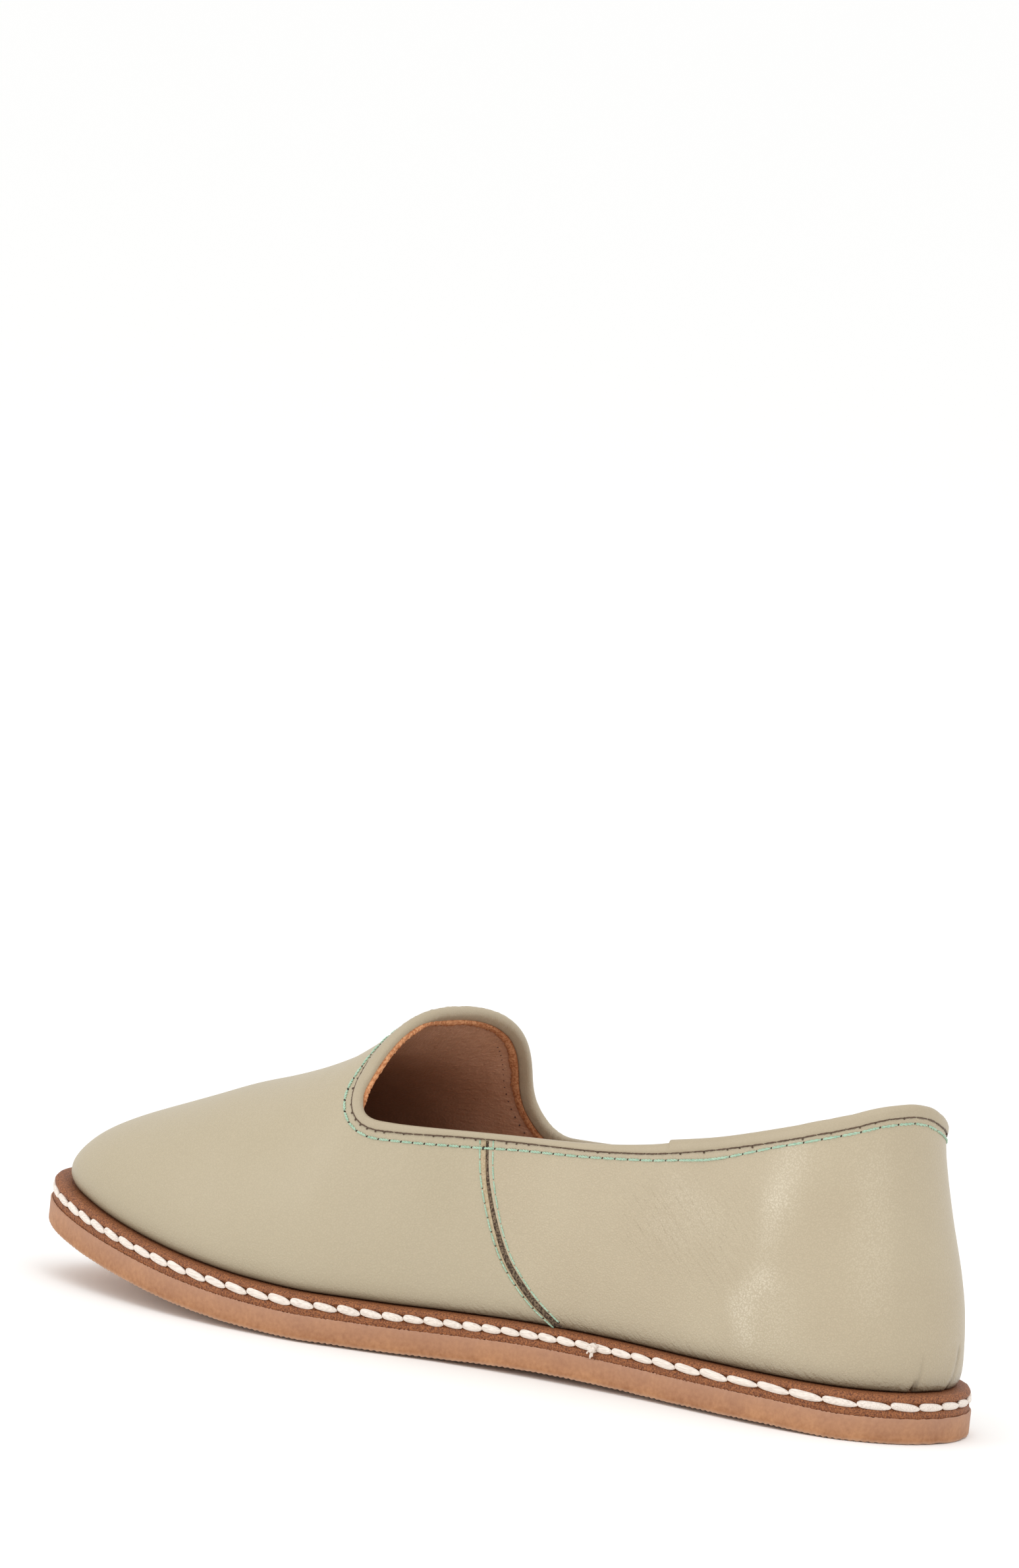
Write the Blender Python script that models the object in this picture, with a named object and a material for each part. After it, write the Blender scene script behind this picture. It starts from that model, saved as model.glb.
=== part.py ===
"""Flat slip-on shoe for the right foot, standing on its sole with the toe along +Y.

All driving dimensions are in millimetres. The medial side is -X. Stations are measured from the
back of the heel, heights from the ground. Rubber outsole, leather midsole, insole, upper and
topline binding are separate solids with a small seat gap between them.
"""

import bpy
import numpy as np

MM = 0.001

SOLE_LENGTH = 256.0
RUBBER_THICKNESS = 6.2
SOLE_THICKNESS = 11.8
SEAT_GAP = 0.3
TOE_SPRING = 14.2
TOE_SPRING_START = 158.7
TOE_SPRING_POWER = 1.9
ARCH_LIFT = 0.8
ARCH_START = 56.0
ARCH_END = 143.0

LEDGE = 3.0
TOE_LEDGE = 1.4
TOE_LEDGE_START = 222.0
WALL = 1.8
TUCK = 0.8
TUCK_HEIGHT = 6.0
SECTION_POWER = 2.4

THROAT_STATION = 151.2
THROAT_SLANT = {-1: 11.5, 1: 1.5}
THROAT_BOW = {-1: 0.0, 1: 8.0}
THROAT_SLANT_REACH = 72.0
NOTCH_RADIUS = {-1: 13.0, 1: 19.0}
LEAN_REACH = 110.0

BINDING_HEIGHT = 4.0
BINDING_SWELL = 0.5

INSOLE_INSET = 6.0
INSOLE_THICKNESS = 2.4

# station, half width, offset of the centre line
SOLE_PLAN = (
    (0.0, 0.0, 0.0),
    (1.5, 9.2, 0.0),
    (6.0, 17.7, 0.0),
    (10.0, 21.8, 0.0),
    (15.0, 25.3, 0.0),
    (22.0, 28.1, 0.0),
    (31.0, 29.4, -0.2),
    (42.0, 29.8, 0.0),
    (55.0, 29.4, 0.5),
    (75.0, 28.9, 1.3),
    (100.0, 30.3, 1.7),
    (125.0, 34.5, 2.3),
    (145.0, 40.3, 1.3),
    (165.0, 44.0, -0.3),
    (180.0, 44.3, -0.5),
    (195.0, 42.9, -0.6),
    (210.0, 39.8, -0.6),
    (225.0, 34.6, -1.0),
    (238.0, 27.8, -2.0),
    (248.0, 20.0, -3.4),
    (254.0, 11.2, -4.2),
    (256.0, 0.0, -4.2),
)

# station, height of the last's ridge, offset of the ridge; behind the throat the ridge only shapes the walls
RIDGE = (
    (0.0, 108.0, 0.0),
    (50.0, 110.0, 0.0),
    (75.0, 110.0, -0.5),
    (100.0, 104.5, -0.8),
    (125.0, 94.8, -1.0),
    (149.5, 81.6, -1.2),
    (157.0, 75.4, -2.0),
    (165.0, 69.9, -2.8),
    (177.0, 64.2, -3.4),
    (188.0, 60.2, -3.6),
    (200.0, 56.3, -3.8),
    (212.0, 51.6, -4.0),
    (224.0, 46.9, -4.1),
    (236.0, 42.0, -4.2),
    (244.0, 38.0, -4.2),
    (250.0, 33.9, -4.2),
    (254.0, 29.8, -4.2),
    (256.0, 25.8, -4.2),
)

# station, height of the upper's edge on the medial side, and on the lateral side
TOPLINE = (
    (0.0, 74.1, 74.1),
    (0.44, 75.3, 72.8),
    (2.45, 75.9, 70.9),
    (5.9, 75.4, 69.3),
    (9.0, 74.7, 68.3),
    (14.0, 73.1, 66.9),
    (24.0, 70.5, 64.6),
    (33.0, 68.0, 62.2),
    (46.5, 64.4, 58.6),
    (57.5, 61.5, 55.6),
    (69.7, 58.8, 52.7),
    (78.0, 57.1, 51.0),
    (95.0, 54.9, 48.6),
    (112.0, 53.8, 47.4),
    (132.0, 52.5, 46.2),
    (145.0, 52.0, 45.8),
    (160.0, 51.6, 45.6),
)

# height above the feather edge, distance the heel's back leans forward
HEEL_LEAN = (
    (0.0, 0.0),
    (10.0, 0.5),
    (18.0, 1.4),
    (26.0, 3.2),
    (32.0, 5.0),
    (38.0, 6.9),
    (45.0, 8.8),
    (51.0, 10.2),
    (57.0, 11.2),
    (63.0, 11.5),
    (80.0, 11.5),
)

SOLE_ROWS = 46
VAMP_ROWS = 25
QUARTER_ROWS = 24
WALL_COLUMNS = 7
ARCH_COLUMNS = 12
NOTCH_ROWS = (0.3, 1.1, 2.4, 4.2, 6.6, 9.6, 13.0)


def curve(rows, column, at):
    """Monotone cubic through one column of a table, read at the given values of its first column."""
    table = np.array(rows)
    x = table[:, 0]
    y = table[:, column]
    step = np.diff(x)
    slope = np.diff(y) / step
    tangent = np.zeros(len(x))
    turning = slope[:-1] * slope[1:] <= 0
    weight = step[1:] + 2 * step[:-1], 2 * step[1:] + step[:-1]
    safe = [np.where(turning, 1.0, part) for part in (slope[:-1], slope[1:])]
    mean = (weight[0] + weight[1]) / (weight[0] / safe[0] + weight[1] / safe[1])
    tangent[1:-1] = np.where(turning, 0.0, mean)
    tangent[0] = slope[0]
    tangent[-1] = slope[-1]
    at = np.clip(np.asarray(at, float), x[0], x[-1])
    i = np.clip(np.searchsorted(x, at) - 1, 0, len(step) - 1)
    t = (at - x[i]) / step[i]
    rise = t * t * (3 - 2 * t)
    start = t * (1 - t) ** 2 * step[i] * tangent[i]
    end = t * t * (t - 1) * step[i] * tangent[i + 1]
    return y[i] + (y[i + 1] - y[i]) * rise + start + end


def angle_of(station):
    """Angle that spaces stations closely at the heel and the toe."""
    share = np.clip(np.asarray(station, float) / SOLE_LENGTH, 0.0, 1.0)
    return np.arccos(1 - 2 * share)


def station_of(angle):
    return SOLE_LENGTH * (1 - np.cos(angle)) / 2


PLAN_BY_ANGLE = [(float(angle_of(row[0])), row[1], row[2]) for row in SOLE_PLAN]
RIDGE_BY_ANGLE = [(float(angle_of(row[0])), row[1], row[2]) for row in RIDGE]
TOPLINE_BY_ANGLE = [(float(angle_of(row[0])), row[1], row[2]) for row in TOPLINE]


def ground_lift(station):
    """Height of the sole's underside: flat heel and ball, low arch, toe spring."""
    station = np.asarray(station, float)
    share = np.clip((station - TOE_SPRING_START) / (SOLE_LENGTH - TOE_SPRING_START), 0.0, None)
    inside = np.clip((station - ARCH_START) / (ARCH_END - ARCH_START), 0.0, 1.0)
    return TOE_SPRING * share**TOE_SPRING_POWER + ARCH_LIFT * np.sin(np.pi * inside) ** 2


def plan_point(angle, side, inset):
    """Point of the sole's outline, moved inwards by the inset. The medial side is -1, the lateral +1."""
    angle = np.asarray(angle, float)

    def edge(at):
        x = curve(PLAN_BY_ANGLE, 2, at) + side * curve(PLAN_BY_ANGLE, 1, at)
        return np.stack([x, station_of(at)], axis=-1)

    here = edge(angle)
    after = edge(np.minimum(angle + 0.004, np.pi))
    before = edge(np.maximum(angle - 0.004, 0.0))
    run = after - before
    inward = side * np.stack([-run[..., 1], run[..., 0]], axis=-1)
    inward /= np.linalg.norm(inward, axis=-1, keepdims=True)
    at_heel = angle < 1e-6
    at_toe = angle > np.pi - 1e-6
    inward[at_heel] = (0.0, 1.0)
    inward[at_toe] = (0.0, -1.0)
    return here + np.asarray(inset)[..., None] * inward


def feather_inset(angle):
    """Distance of the feather edge from the sole's outline, wider at the toe."""
    share = (station_of(angle) - TOE_LEDGE_START) / (SOLE_LENGTH - TOE_LEDGE_START)
    return LEDGE + TOE_LEDGE * np.clip(share, 0.0, 1.0) ** 2


def throat_share(station):
    """How much of the throat's slant and bow a section takes: all at the throat, none far from it."""
    share = np.clip(np.abs(station - THROAT_STATION) / THROAT_SLANT_REACH, 0.0, 1.0)
    return (1 - share**2) ** 2


def slant(station, side):
    """Distance by which a section's foot runs ahead on the medial side and behind on the lateral side."""
    return -side * THROAT_SLANT[side] * throat_share(station)


def side_section(station, side, angles, depth):
    """Points of one side of the last's section at a station, for angles from feather edge to ridge.

    The depth is the distance inside the outer face.
    """
    foot = angle_of(station + slant(station, side))
    inset = feather_inset(foot) + depth
    rise = np.sin(angles) ** (2 / SECTION_POWER)
    spread = np.cos(angles) ** (2 / SECTION_POWER)
    low = ground_lift(plan_point(foot, side, inset)[1]) + SOLE_THICKNESS + SEAT_GAP
    ridge = curve(RIDGE_BY_ANGLE, 1, angle_of(station))
    height = ridge - low
    height -= depth * 1.15 * min(1.0, height / 10.0)
    up = height * rise
    tucked = TUCK * np.clip(1 - up / TUCK_HEIGHT, 0.0, None) ** 2
    outer = plan_point(np.full(len(angles), foot), side, inset + tucked)
    middle_x = curve(RIDGE_BY_ANGLE, 2, angle_of(station))
    here = angle_of(station)
    both = [plan_point(here, way, feather_inset(here) + depth) for way in (-1, 1)]
    middle_y = (both[0][1] + both[1][1]) / 2
    lean = curve(HEEL_LEAN, 1, up) * np.clip(1 - station / LEAN_REACH, 0.0, None) ** 1.5
    x = middle_x + (outer[:, 0] - middle_x) * spread
    bow = THROAT_BOW[side] * throat_share(station) * np.sin(angles) ** 4 * np.sin(2 * angles)
    y = middle_y + (outer[:, 1] - middle_y) * spread + lean - bow
    return np.stack([x, y, low + up], axis=-1)


def edge_angle(station, side, depth):
    """Angle at which the upper's edge crosses a section behind the throat."""
    level = curve(TOPLINE_BY_ANGLE, 1 if side < 0 else 2, angle_of(station))
    radius = NOTCH_RADIUS[side]
    share = np.clip((station - THROAT_STATION + radius) / radius, 0.0, 1.0)
    level += radius * (1 - np.sqrt(1 - share**2))
    foot = angle_of(station + slant(station, side))
    base = plan_point(foot, side, feather_inset(foot) + depth)
    low = ground_lift(base[1]) + SOLE_THICKNESS + SEAT_GAP
    height = curve(RIDGE_BY_ANGLE, 1, angle_of(station)) - low
    height -= depth * 1.15 * min(1.0, height / 10.0)
    return np.arcsin(np.clip((level - low) / height, 0.0, 1.0) ** (SECTION_POWER / 2))


def wall_angles(top):
    return top * (np.arange(WALL_COLUMNS + 1) / WALL_COLUMNS) ** 1.15


def upper_face(depth):
    """Quarter rows from throat to heel for each side, and vamp rows from throat to toe."""
    near_notch = THROAT_STATION - np.array(NOTCH_ROWS)
    rest = np.linspace(angle_of(near_notch[-1]), 0.0, QUARTER_ROWS)[1:]
    stations = np.concatenate([[THROAT_STATION], near_notch, station_of(rest)])
    quarters = {}
    notch = {}
    for side in (-1, 1):
        tops = [edge_angle(station, side, depth) for station in stations]
        notch[side] = tops[0]
        rows = [side_section(s, side, wall_angles(top), depth) for s, top in zip(stations, tops)]
        quarters[side] = np.array(rows)
    middle = (quarters[-1][-1] + quarters[1][-1]) / 2
    quarters[-1][-1] = middle
    quarters[1][-1] = middle
    vamp = []
    for angle in np.linspace(angle_of(THROAT_STATION), np.pi, VAMP_ROWS + 1)[:-1]:
        row = []
        for side in (-1, 1):
            arch = np.linspace(notch[side], np.pi / 2, ARCH_COLUMNS // 2 + 1)[1:]
            angles = np.concatenate([wall_angles(notch[side]), arch])
            row.append(side_section(station_of(angle), side, angles, depth))
        crown = (row[0][-1] + row[1][-1]) / 2
        vamp.append(np.concatenate([row[0][:-1], [crown], row[1][-2::-1]]))
    tip = plan_point(np.array(np.pi), -1, feather_inset(np.pi) + depth + TUCK)
    tip_height = ground_lift(tip[1]) + SOLE_THICKNESS + SEAT_GAP
    return quarters, np.array(vamp), np.array([tip[0], tip[1], tip_height])


class Shell:
    """Collects points and faces, sharing points that are given the same key."""

    def __init__(self):
        self.points = []
        self.faces = []
        self.index = {}

    def point(self, key, place):
        if key not in self.index:
            self.index[key] = len(self.points)
            self.points.append(tuple(float(value) for value in place))
        return self.index[key]

    def face(self, *keys):
        ring = [self.index[key] for key in keys]
        kept = [value for i, value in enumerate(ring) if value != ring[i - 1]]
        if len(kept) > 2:
            self.faces.append(kept)


def upper_keys():
    """Names of the grid points of one face of the upper: quarter strips, vamp rows and topline loop."""
    rows = 1 + len(NOTCH_ROWS) + QUARTER_ROWS - 1
    across = 2 * WALL_COLUMNS + ARCH_COLUMNS + 1
    vamp = [[("vamp", i, j) for j in range(across)] for i in range(VAMP_ROWS)]
    quarters = {}
    for side in (-1, 1):
        strip = []
        for i in range(rows):
            if i == 0 and side < 0:
                strip.append(vamp[0][: WALL_COLUMNS + 1])
            elif i == 0:
                strip.append(vamp[0][: -WALL_COLUMNS - 2 : -1])
            elif i == rows - 1:
                strip.append([("back", j) for j in range(WALL_COLUMNS + 1)])
            else:
                strip.append([("quarter", side, i, j) for j in range(WALL_COLUMNS + 1)])
        quarters[side] = strip
    loop = [row[-1] for row in quarters[-1]]
    loop += [row[-1] for row in quarters[1][-2::-1]]
    loop += vamp[0][-WALL_COLUMNS - 2 : WALL_COLUMNS : -1]
    return quarters, vamp, loop


def build_upper():
    """Hollow upper, open at the topline and underneath."""
    quarters, vamp, loop = upper_keys()
    shell = Shell()
    faces = {"out": upper_face(0.0), "in": upper_face(WALL)}
    for name, (walls, arches, tip) in faces.items():
        for keys, places in zip(vamp, arches):
            for key, place in zip(keys, places):
                shell.point((name, key), place)
        for side in (-1, 1):
            for keys, places in zip(quarters[side], walls[side]):
                for key, place in zip(keys, places):
                    shell.point((name, key), place)
        shell.point((name, "tip"), tip)

    def quad(keys, flip):
        for name, turned in (("out", flip), ("in", not flip)):
            ring = [(name, key) for key in keys]
            shell.face(*(ring[::-1] if turned else ring))

    for low, high in zip(vamp, vamp[1:]):
        for j in range(len(low) - 1):
            quad([low[j], low[j + 1], high[j + 1], high[j]], False)
    for j in range(len(vamp[-1]) - 1):
        quad([vamp[-1][j], vamp[-1][j + 1], "tip"], False)
    for side in (-1, 1):
        for front, behind in zip(quarters[side], quarters[side][1:]):
            for j in range(WALL_COLUMNS):
                quad([front[j], front[j + 1], behind[j + 1], behind[j]], side < 0)
    for a, b in zip(loop, loop[1:] + loop[:1]):
        shell.face(("out", b), ("in", b), ("in", a), ("out", a))
    feather = [row[0] for row in vamp] + ["tip"] + [row[-1] for row in reversed(vamp)]
    feather += [row[0] for row in quarters[1][1:]] + [row[0] for row in quarters[-1][-2:0:-1]]
    for a, b in zip(feather, feather[1:] + feather[:1]):
        shell.face(("out", b), ("in", b), ("in", a), ("out", a))
    edge = [[shell.points[shell.index[(name, key)]] for key in loop] for name in ("out", "in")]
    throat = slice(WALL_COLUMNS, -WALL_COLUMNS)
    first, second = (np.array([shell.points[shell.index["out", key]] for key in row[throat]]) for row in vamp[:2])
    return shell, np.array(edge[0]), np.array(edge[1]), (first - second)[::-1]


def unit(vectors):
    return vectors / np.linalg.norm(vectors, axis=1, keepdims=True)


def build_binding(outer, inner, throat_climb):
    """Rounded strip that runs round the whole topline, just above the upper's edge.

    At the throat, from corner to corner, it goes on up the vamp's slope, which throat_climb gives.
    """
    run = unit(np.roll(outer, -1, axis=0) - np.roll(outer, 1, axis=0))
    away = np.cross(unit(outer - inner), run)
    throat = np.arange(len(outer) - len(throat_climb) + 1, len(outer) + 1) % len(outer)
    away[throat] = unit(throat_climb)
    away = unit(away - run * np.sum(away * run, axis=1, keepdims=True))
    across = np.cross(run, away)
    middle = outer - across * WALL / 2
    half = WALL / 2 + BINDING_SWELL
    top = SEAT_GAP + BINDING_HEIGHT
    profile = (
        (SEAT_GAP, half - 0.2),
        (SEAT_GAP + 0.4, half),
        (top - 1.2, half),
        (top - 0.4, half * 0.72),
        (top, half * 0.25),
        (top, -half * 0.25),
        (top - 0.4, -half * 0.72),
        (top - 1.2, -half),
        (SEAT_GAP + 0.4, -half),
        (SEAT_GAP, 0.2 - half),
    )
    shell = Shell()
    count = len(middle)
    for i in range(count):
        for k, (rise, shift) in enumerate(profile):
            shell.point((i, k), middle[i] + rise * away[i] + shift * across[i])
    for i in range(count):
        following = (i + 1) % count
        for k in range(len(profile)):
            after = (k + 1) % len(profile)
            shell.face((i, k), (following, k), (following, after), (i, after))
    return shell


def build_slab(levels, follow_feather=False):
    """Solid between the first and the last level. Each level is an inset of the outline and a height.

    A slab inside the upper follows the feather edge where that draws in at the toe.
    """
    shell = Shell()
    angles = np.linspace(0.0, np.pi, SOLE_ROWS + 1)
    drawn_in = feather_inset(angles) - LEDGE if follow_feather else np.zeros(len(angles))
    for level, (inset, height) in enumerate(levels):
        for side in (-1, 1):
            plan = plan_point(angles, side, inset + drawn_in)
            for i, (x, y) in enumerate(plan):
                key = (level, i, 0 if i in (0, SOLE_ROWS) else side)
                shell.point(key, (x, y, ground_lift(y) + height))

    def key(level, i, side):
        return level, i, 0 if i in (0, SOLE_ROWS) else side

    last = len(levels) - 1
    for i in range(SOLE_ROWS):
        shell.face(key(0, i, -1), key(0, i + 1, -1), key(0, i + 1, 1), key(0, i, 1))
        shell.face(key(last, i, 1), key(last, i + 1, 1), key(last, i + 1, -1), key(last, i, -1))
        for level in range(last):
            shell.face(key(level, i, 1), key(level, i + 1, 1), key(level + 1, i + 1, 1), key(level + 1, i, 1))
            shell.face(key(level + 1, i, -1), key(level + 1, i + 1, -1), key(level, i + 1, -1), key(level, i, -1))
    return shell


def add_object(name, shell, colour, roughness, smooth_angle):
    """Makes a mesh object in metres, centred over its own ground plan, with its own material."""
    angles = np.linspace(0.0, np.pi, SOLE_ROWS + 1)
    medial = plan_point(angles, -1, np.zeros(len(angles)))
    lateral = plan_point(angles, 1, np.zeros(len(angles)))
    centre = np.array([(medial[:, 0].min() + lateral[:, 0].max()) / 2, SOLE_LENGTH / 2, 0.0])
    points = (np.array(shell.points) - centre) * MM
    mesh = bpy.data.meshes.new(name)
    mesh.from_pydata(points.tolist(), [], shell.faces)
    mesh.validate()
    material = bpy.data.materials.new(name)
    material.use_nodes = True
    surface = material.node_tree.nodes["Principled BSDF"]
    surface.inputs["Base Color"].default_value = (*colour, 1.0)
    surface.inputs["Roughness"].default_value = roughness
    mesh.materials.append(material)
    piece = bpy.data.objects.new(name, mesh)
    bpy.context.scene.collection.objects.link(piece)
    mesh.shade_smooth()
    mesh.set_sharp_from_angle(angle=np.radians(smooth_angle))
    return piece


def main():
    for old in list(bpy.data.objects):
        bpy.data.objects.remove(old)
    rubber_top = RUBBER_THICKNESS - SEAT_GAP / 2
    outsole = build_slab(((0.5, 0.0), (0.0, 0.7), (0.0, rubber_top - 0.5), (0.5, rubber_top)))
    leather = rubber_top + SEAT_GAP
    midsole = build_slab(
        (
            (1.1, leather),
            (0.6, leather + 0.5),
            (0.6, SOLE_THICKNESS - 1.3),
            (1.1, SOLE_THICKNESS - 0.4),
            (2.1, SOLE_THICKNESS),
        )
    )
    floor = SOLE_THICKNESS + SEAT_GAP
    insole = build_slab(
        (
            (INSOLE_INSET, floor),
            (INSOLE_INSET, floor + INSOLE_THICKNESS - 0.5),
            (INSOLE_INSET + 0.6, floor + INSOLE_THICKNESS),
        ),
        follow_feather=True,
    )
    upper, outer_edge, inner_edge, throat_climb = build_upper()
    binding = build_binding(outer_edge, inner_edge, throat_climb)
    add_object("outsole", outsole, (0.45, 0.23, 0.14), 0.7, 35)
    add_object("midsole", midsole, (0.2, 0.08, 0.04), 0.55, 35)
    add_object("insole", insole, (0.25, 0.1, 0.05), 0.6, 35)
    add_object("upper", upper, (0.58, 0.5, 0.35), 0.45, 50)
    add_object("topline_binding", binding, (0.56, 0.48, 0.34), 0.45, 60)


main()
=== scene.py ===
"""Looks of a flat slip-on shoe for the right foot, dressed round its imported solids.

Sizes are in millimetres in the shoe's own frame: stations run from the heel's back to the toe, heights
are above the ground and the medial side is -X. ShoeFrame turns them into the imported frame's metres.
"""

import logging
import math
from dataclasses import dataclass, field
from enum import Enum

import bmesh
import bpy
import numpy as np
from mathutils import Matrix, Vector


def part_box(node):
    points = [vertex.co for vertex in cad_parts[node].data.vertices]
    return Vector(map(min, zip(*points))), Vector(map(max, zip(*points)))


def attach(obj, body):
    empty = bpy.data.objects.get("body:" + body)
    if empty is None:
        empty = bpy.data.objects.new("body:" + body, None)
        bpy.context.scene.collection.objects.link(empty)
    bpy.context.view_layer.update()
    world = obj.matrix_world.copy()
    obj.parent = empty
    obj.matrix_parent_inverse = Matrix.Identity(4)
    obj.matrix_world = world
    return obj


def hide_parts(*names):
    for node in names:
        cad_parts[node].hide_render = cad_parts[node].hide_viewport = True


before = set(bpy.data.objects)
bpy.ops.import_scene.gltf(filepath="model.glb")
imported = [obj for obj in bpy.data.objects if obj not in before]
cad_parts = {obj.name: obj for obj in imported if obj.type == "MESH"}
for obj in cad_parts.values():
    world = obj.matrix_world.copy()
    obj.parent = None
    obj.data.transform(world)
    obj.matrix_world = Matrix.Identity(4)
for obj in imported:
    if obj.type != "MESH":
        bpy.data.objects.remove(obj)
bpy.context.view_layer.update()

Array = np.ndarray
Rows = tuple[tuple[float, ...], ...]
Colour = tuple[float, float, float, float]
Faces = list[tuple[int, ...]]
Pair = tuple[float, float]
Triple = tuple[float, float, float]
# starts, ends and outward directions of a row of stitches
StitchRow = tuple[Array, Array, Array]
Tree = bpy.types.NodeTree
Node = bpy.types.Node
Socket = bpy.types.NodeSocket
Piece = bpy.types.Object

MM = 0.001
BODY = "root"
LOG = logging.getLogger("shoe")


class Side(Enum):
    """The two sides of the shoe, with the sign of their X."""

    MEDIAL = -1
    LATERAL = 1


class Slot(Enum):
    """The record's material slots."""

    RUBBER = "outsole_rubber"
    MIDSOLE = "midsole_leather"
    INSOLE = "insole_leather"
    UPPER = "upper_leather"
    BINDING = "binding_leather"


def linear(hex_colour: str) -> Colour:
    """Turns an sRGB hex colour into linear values.

    Args:
        hex_colour: Six hex digits.

    Returns:
        Red, green, blue and an alpha of one.
    """
    values = [int(hex_colour[i : i + 2], 16) / 255 for i in (0, 2, 4)]
    red, green, blue = (v / 12.92 if v <= 0.04045 else ((v + 0.055) / 1.055) ** 2.4 for v in values)
    return red, green, blue, 1.0


def per_metre(size_mm: float) -> float:
    """Texture scale that gives a pattern of the given size on Object coordinates."""
    return 1.0 / (size_mm * MM)


def curve(rows: Rows, column: int, at: Array) -> Array:
    """Monotone cubic through one column of a table.

    Args:
        rows: Table whose first column rises.
        column: Column to read.
        at: Values of the first column.

    Returns:
        The column's values there.
    """
    table = np.array(rows)
    x = table[:, 0]
    y = table[:, column]
    step = np.diff(x)
    slope = np.diff(y) / step
    tangent = np.zeros(len(x))
    turning = slope[:-1] * slope[1:] <= 0
    weight = step[1:] + 2 * step[:-1], 2 * step[1:] + step[:-1]
    safe = [np.where(turning, 1.0, part) for part in (slope[:-1], slope[1:])]
    mean = (weight[0] + weight[1]) / (weight[0] / safe[0] + weight[1] / safe[1])
    tangent[1:-1] = np.where(turning, 0.0, mean)
    tangent[0] = slope[0]
    tangent[-1] = slope[-1]
    at = np.clip(np.asarray(at, float), x[0], x[-1])
    i = np.clip(np.searchsorted(x, at) - 1, 0, len(step) - 1)
    t = (at - x[i]) / step[i]
    rise = t * t * (3 - 2 * t)
    start = t * (1 - t) ** 2 * step[i] * tangent[i]
    end = t * t * (t - 1) * step[i] * tangent[i + 1]
    return y[i] + (y[i + 1] - y[i]) * rise + start + end


def unit(vectors: Array) -> Array:
    """Scales vectors to length one."""
    return vectors / np.maximum(np.linalg.norm(vectors, axis=-1, keepdims=True), 1e-12)


def listed(*groups: Array) -> Faces:
    """Faces of index arrays whose last axis goes round a face."""
    return [tuple(face) for group in groups for face in group.reshape(-1, group.shape[-1]).tolist()]


def distance_along(points: Array) -> Array:
    """Distance of each point from the first, along the line through them."""
    return np.concatenate([[0.0], np.cumsum(np.linalg.norm(np.diff(points, axis=0), axis=1))])


@dataclass(frozen=True)
class Wave:
    """A smooth irregular wave along a line, which its seed makes the same each time."""

    height: float
    length: float
    seed: int
    parts: int = 6
    spread: Pair = (0.55, 1.9)

    def at(self, place: Array) -> Array:
        """Offset of the wave.

        Args:
            place: Places along a line, in millimetres.

        Returns:
            Offsets between about minus and plus the height.
        """
        draw = np.random.default_rng(self.seed)
        total = np.zeros_like(np.asarray(place, float))
        for _ in range(self.parts):
            share = draw.uniform(*self.spread)
            phase = draw.uniform(0.0, 2 * math.pi)
            total += np.sin(2 * math.pi * share * place / self.length + phase)
        return self.height * (total / (self.parts / 2))


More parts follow.
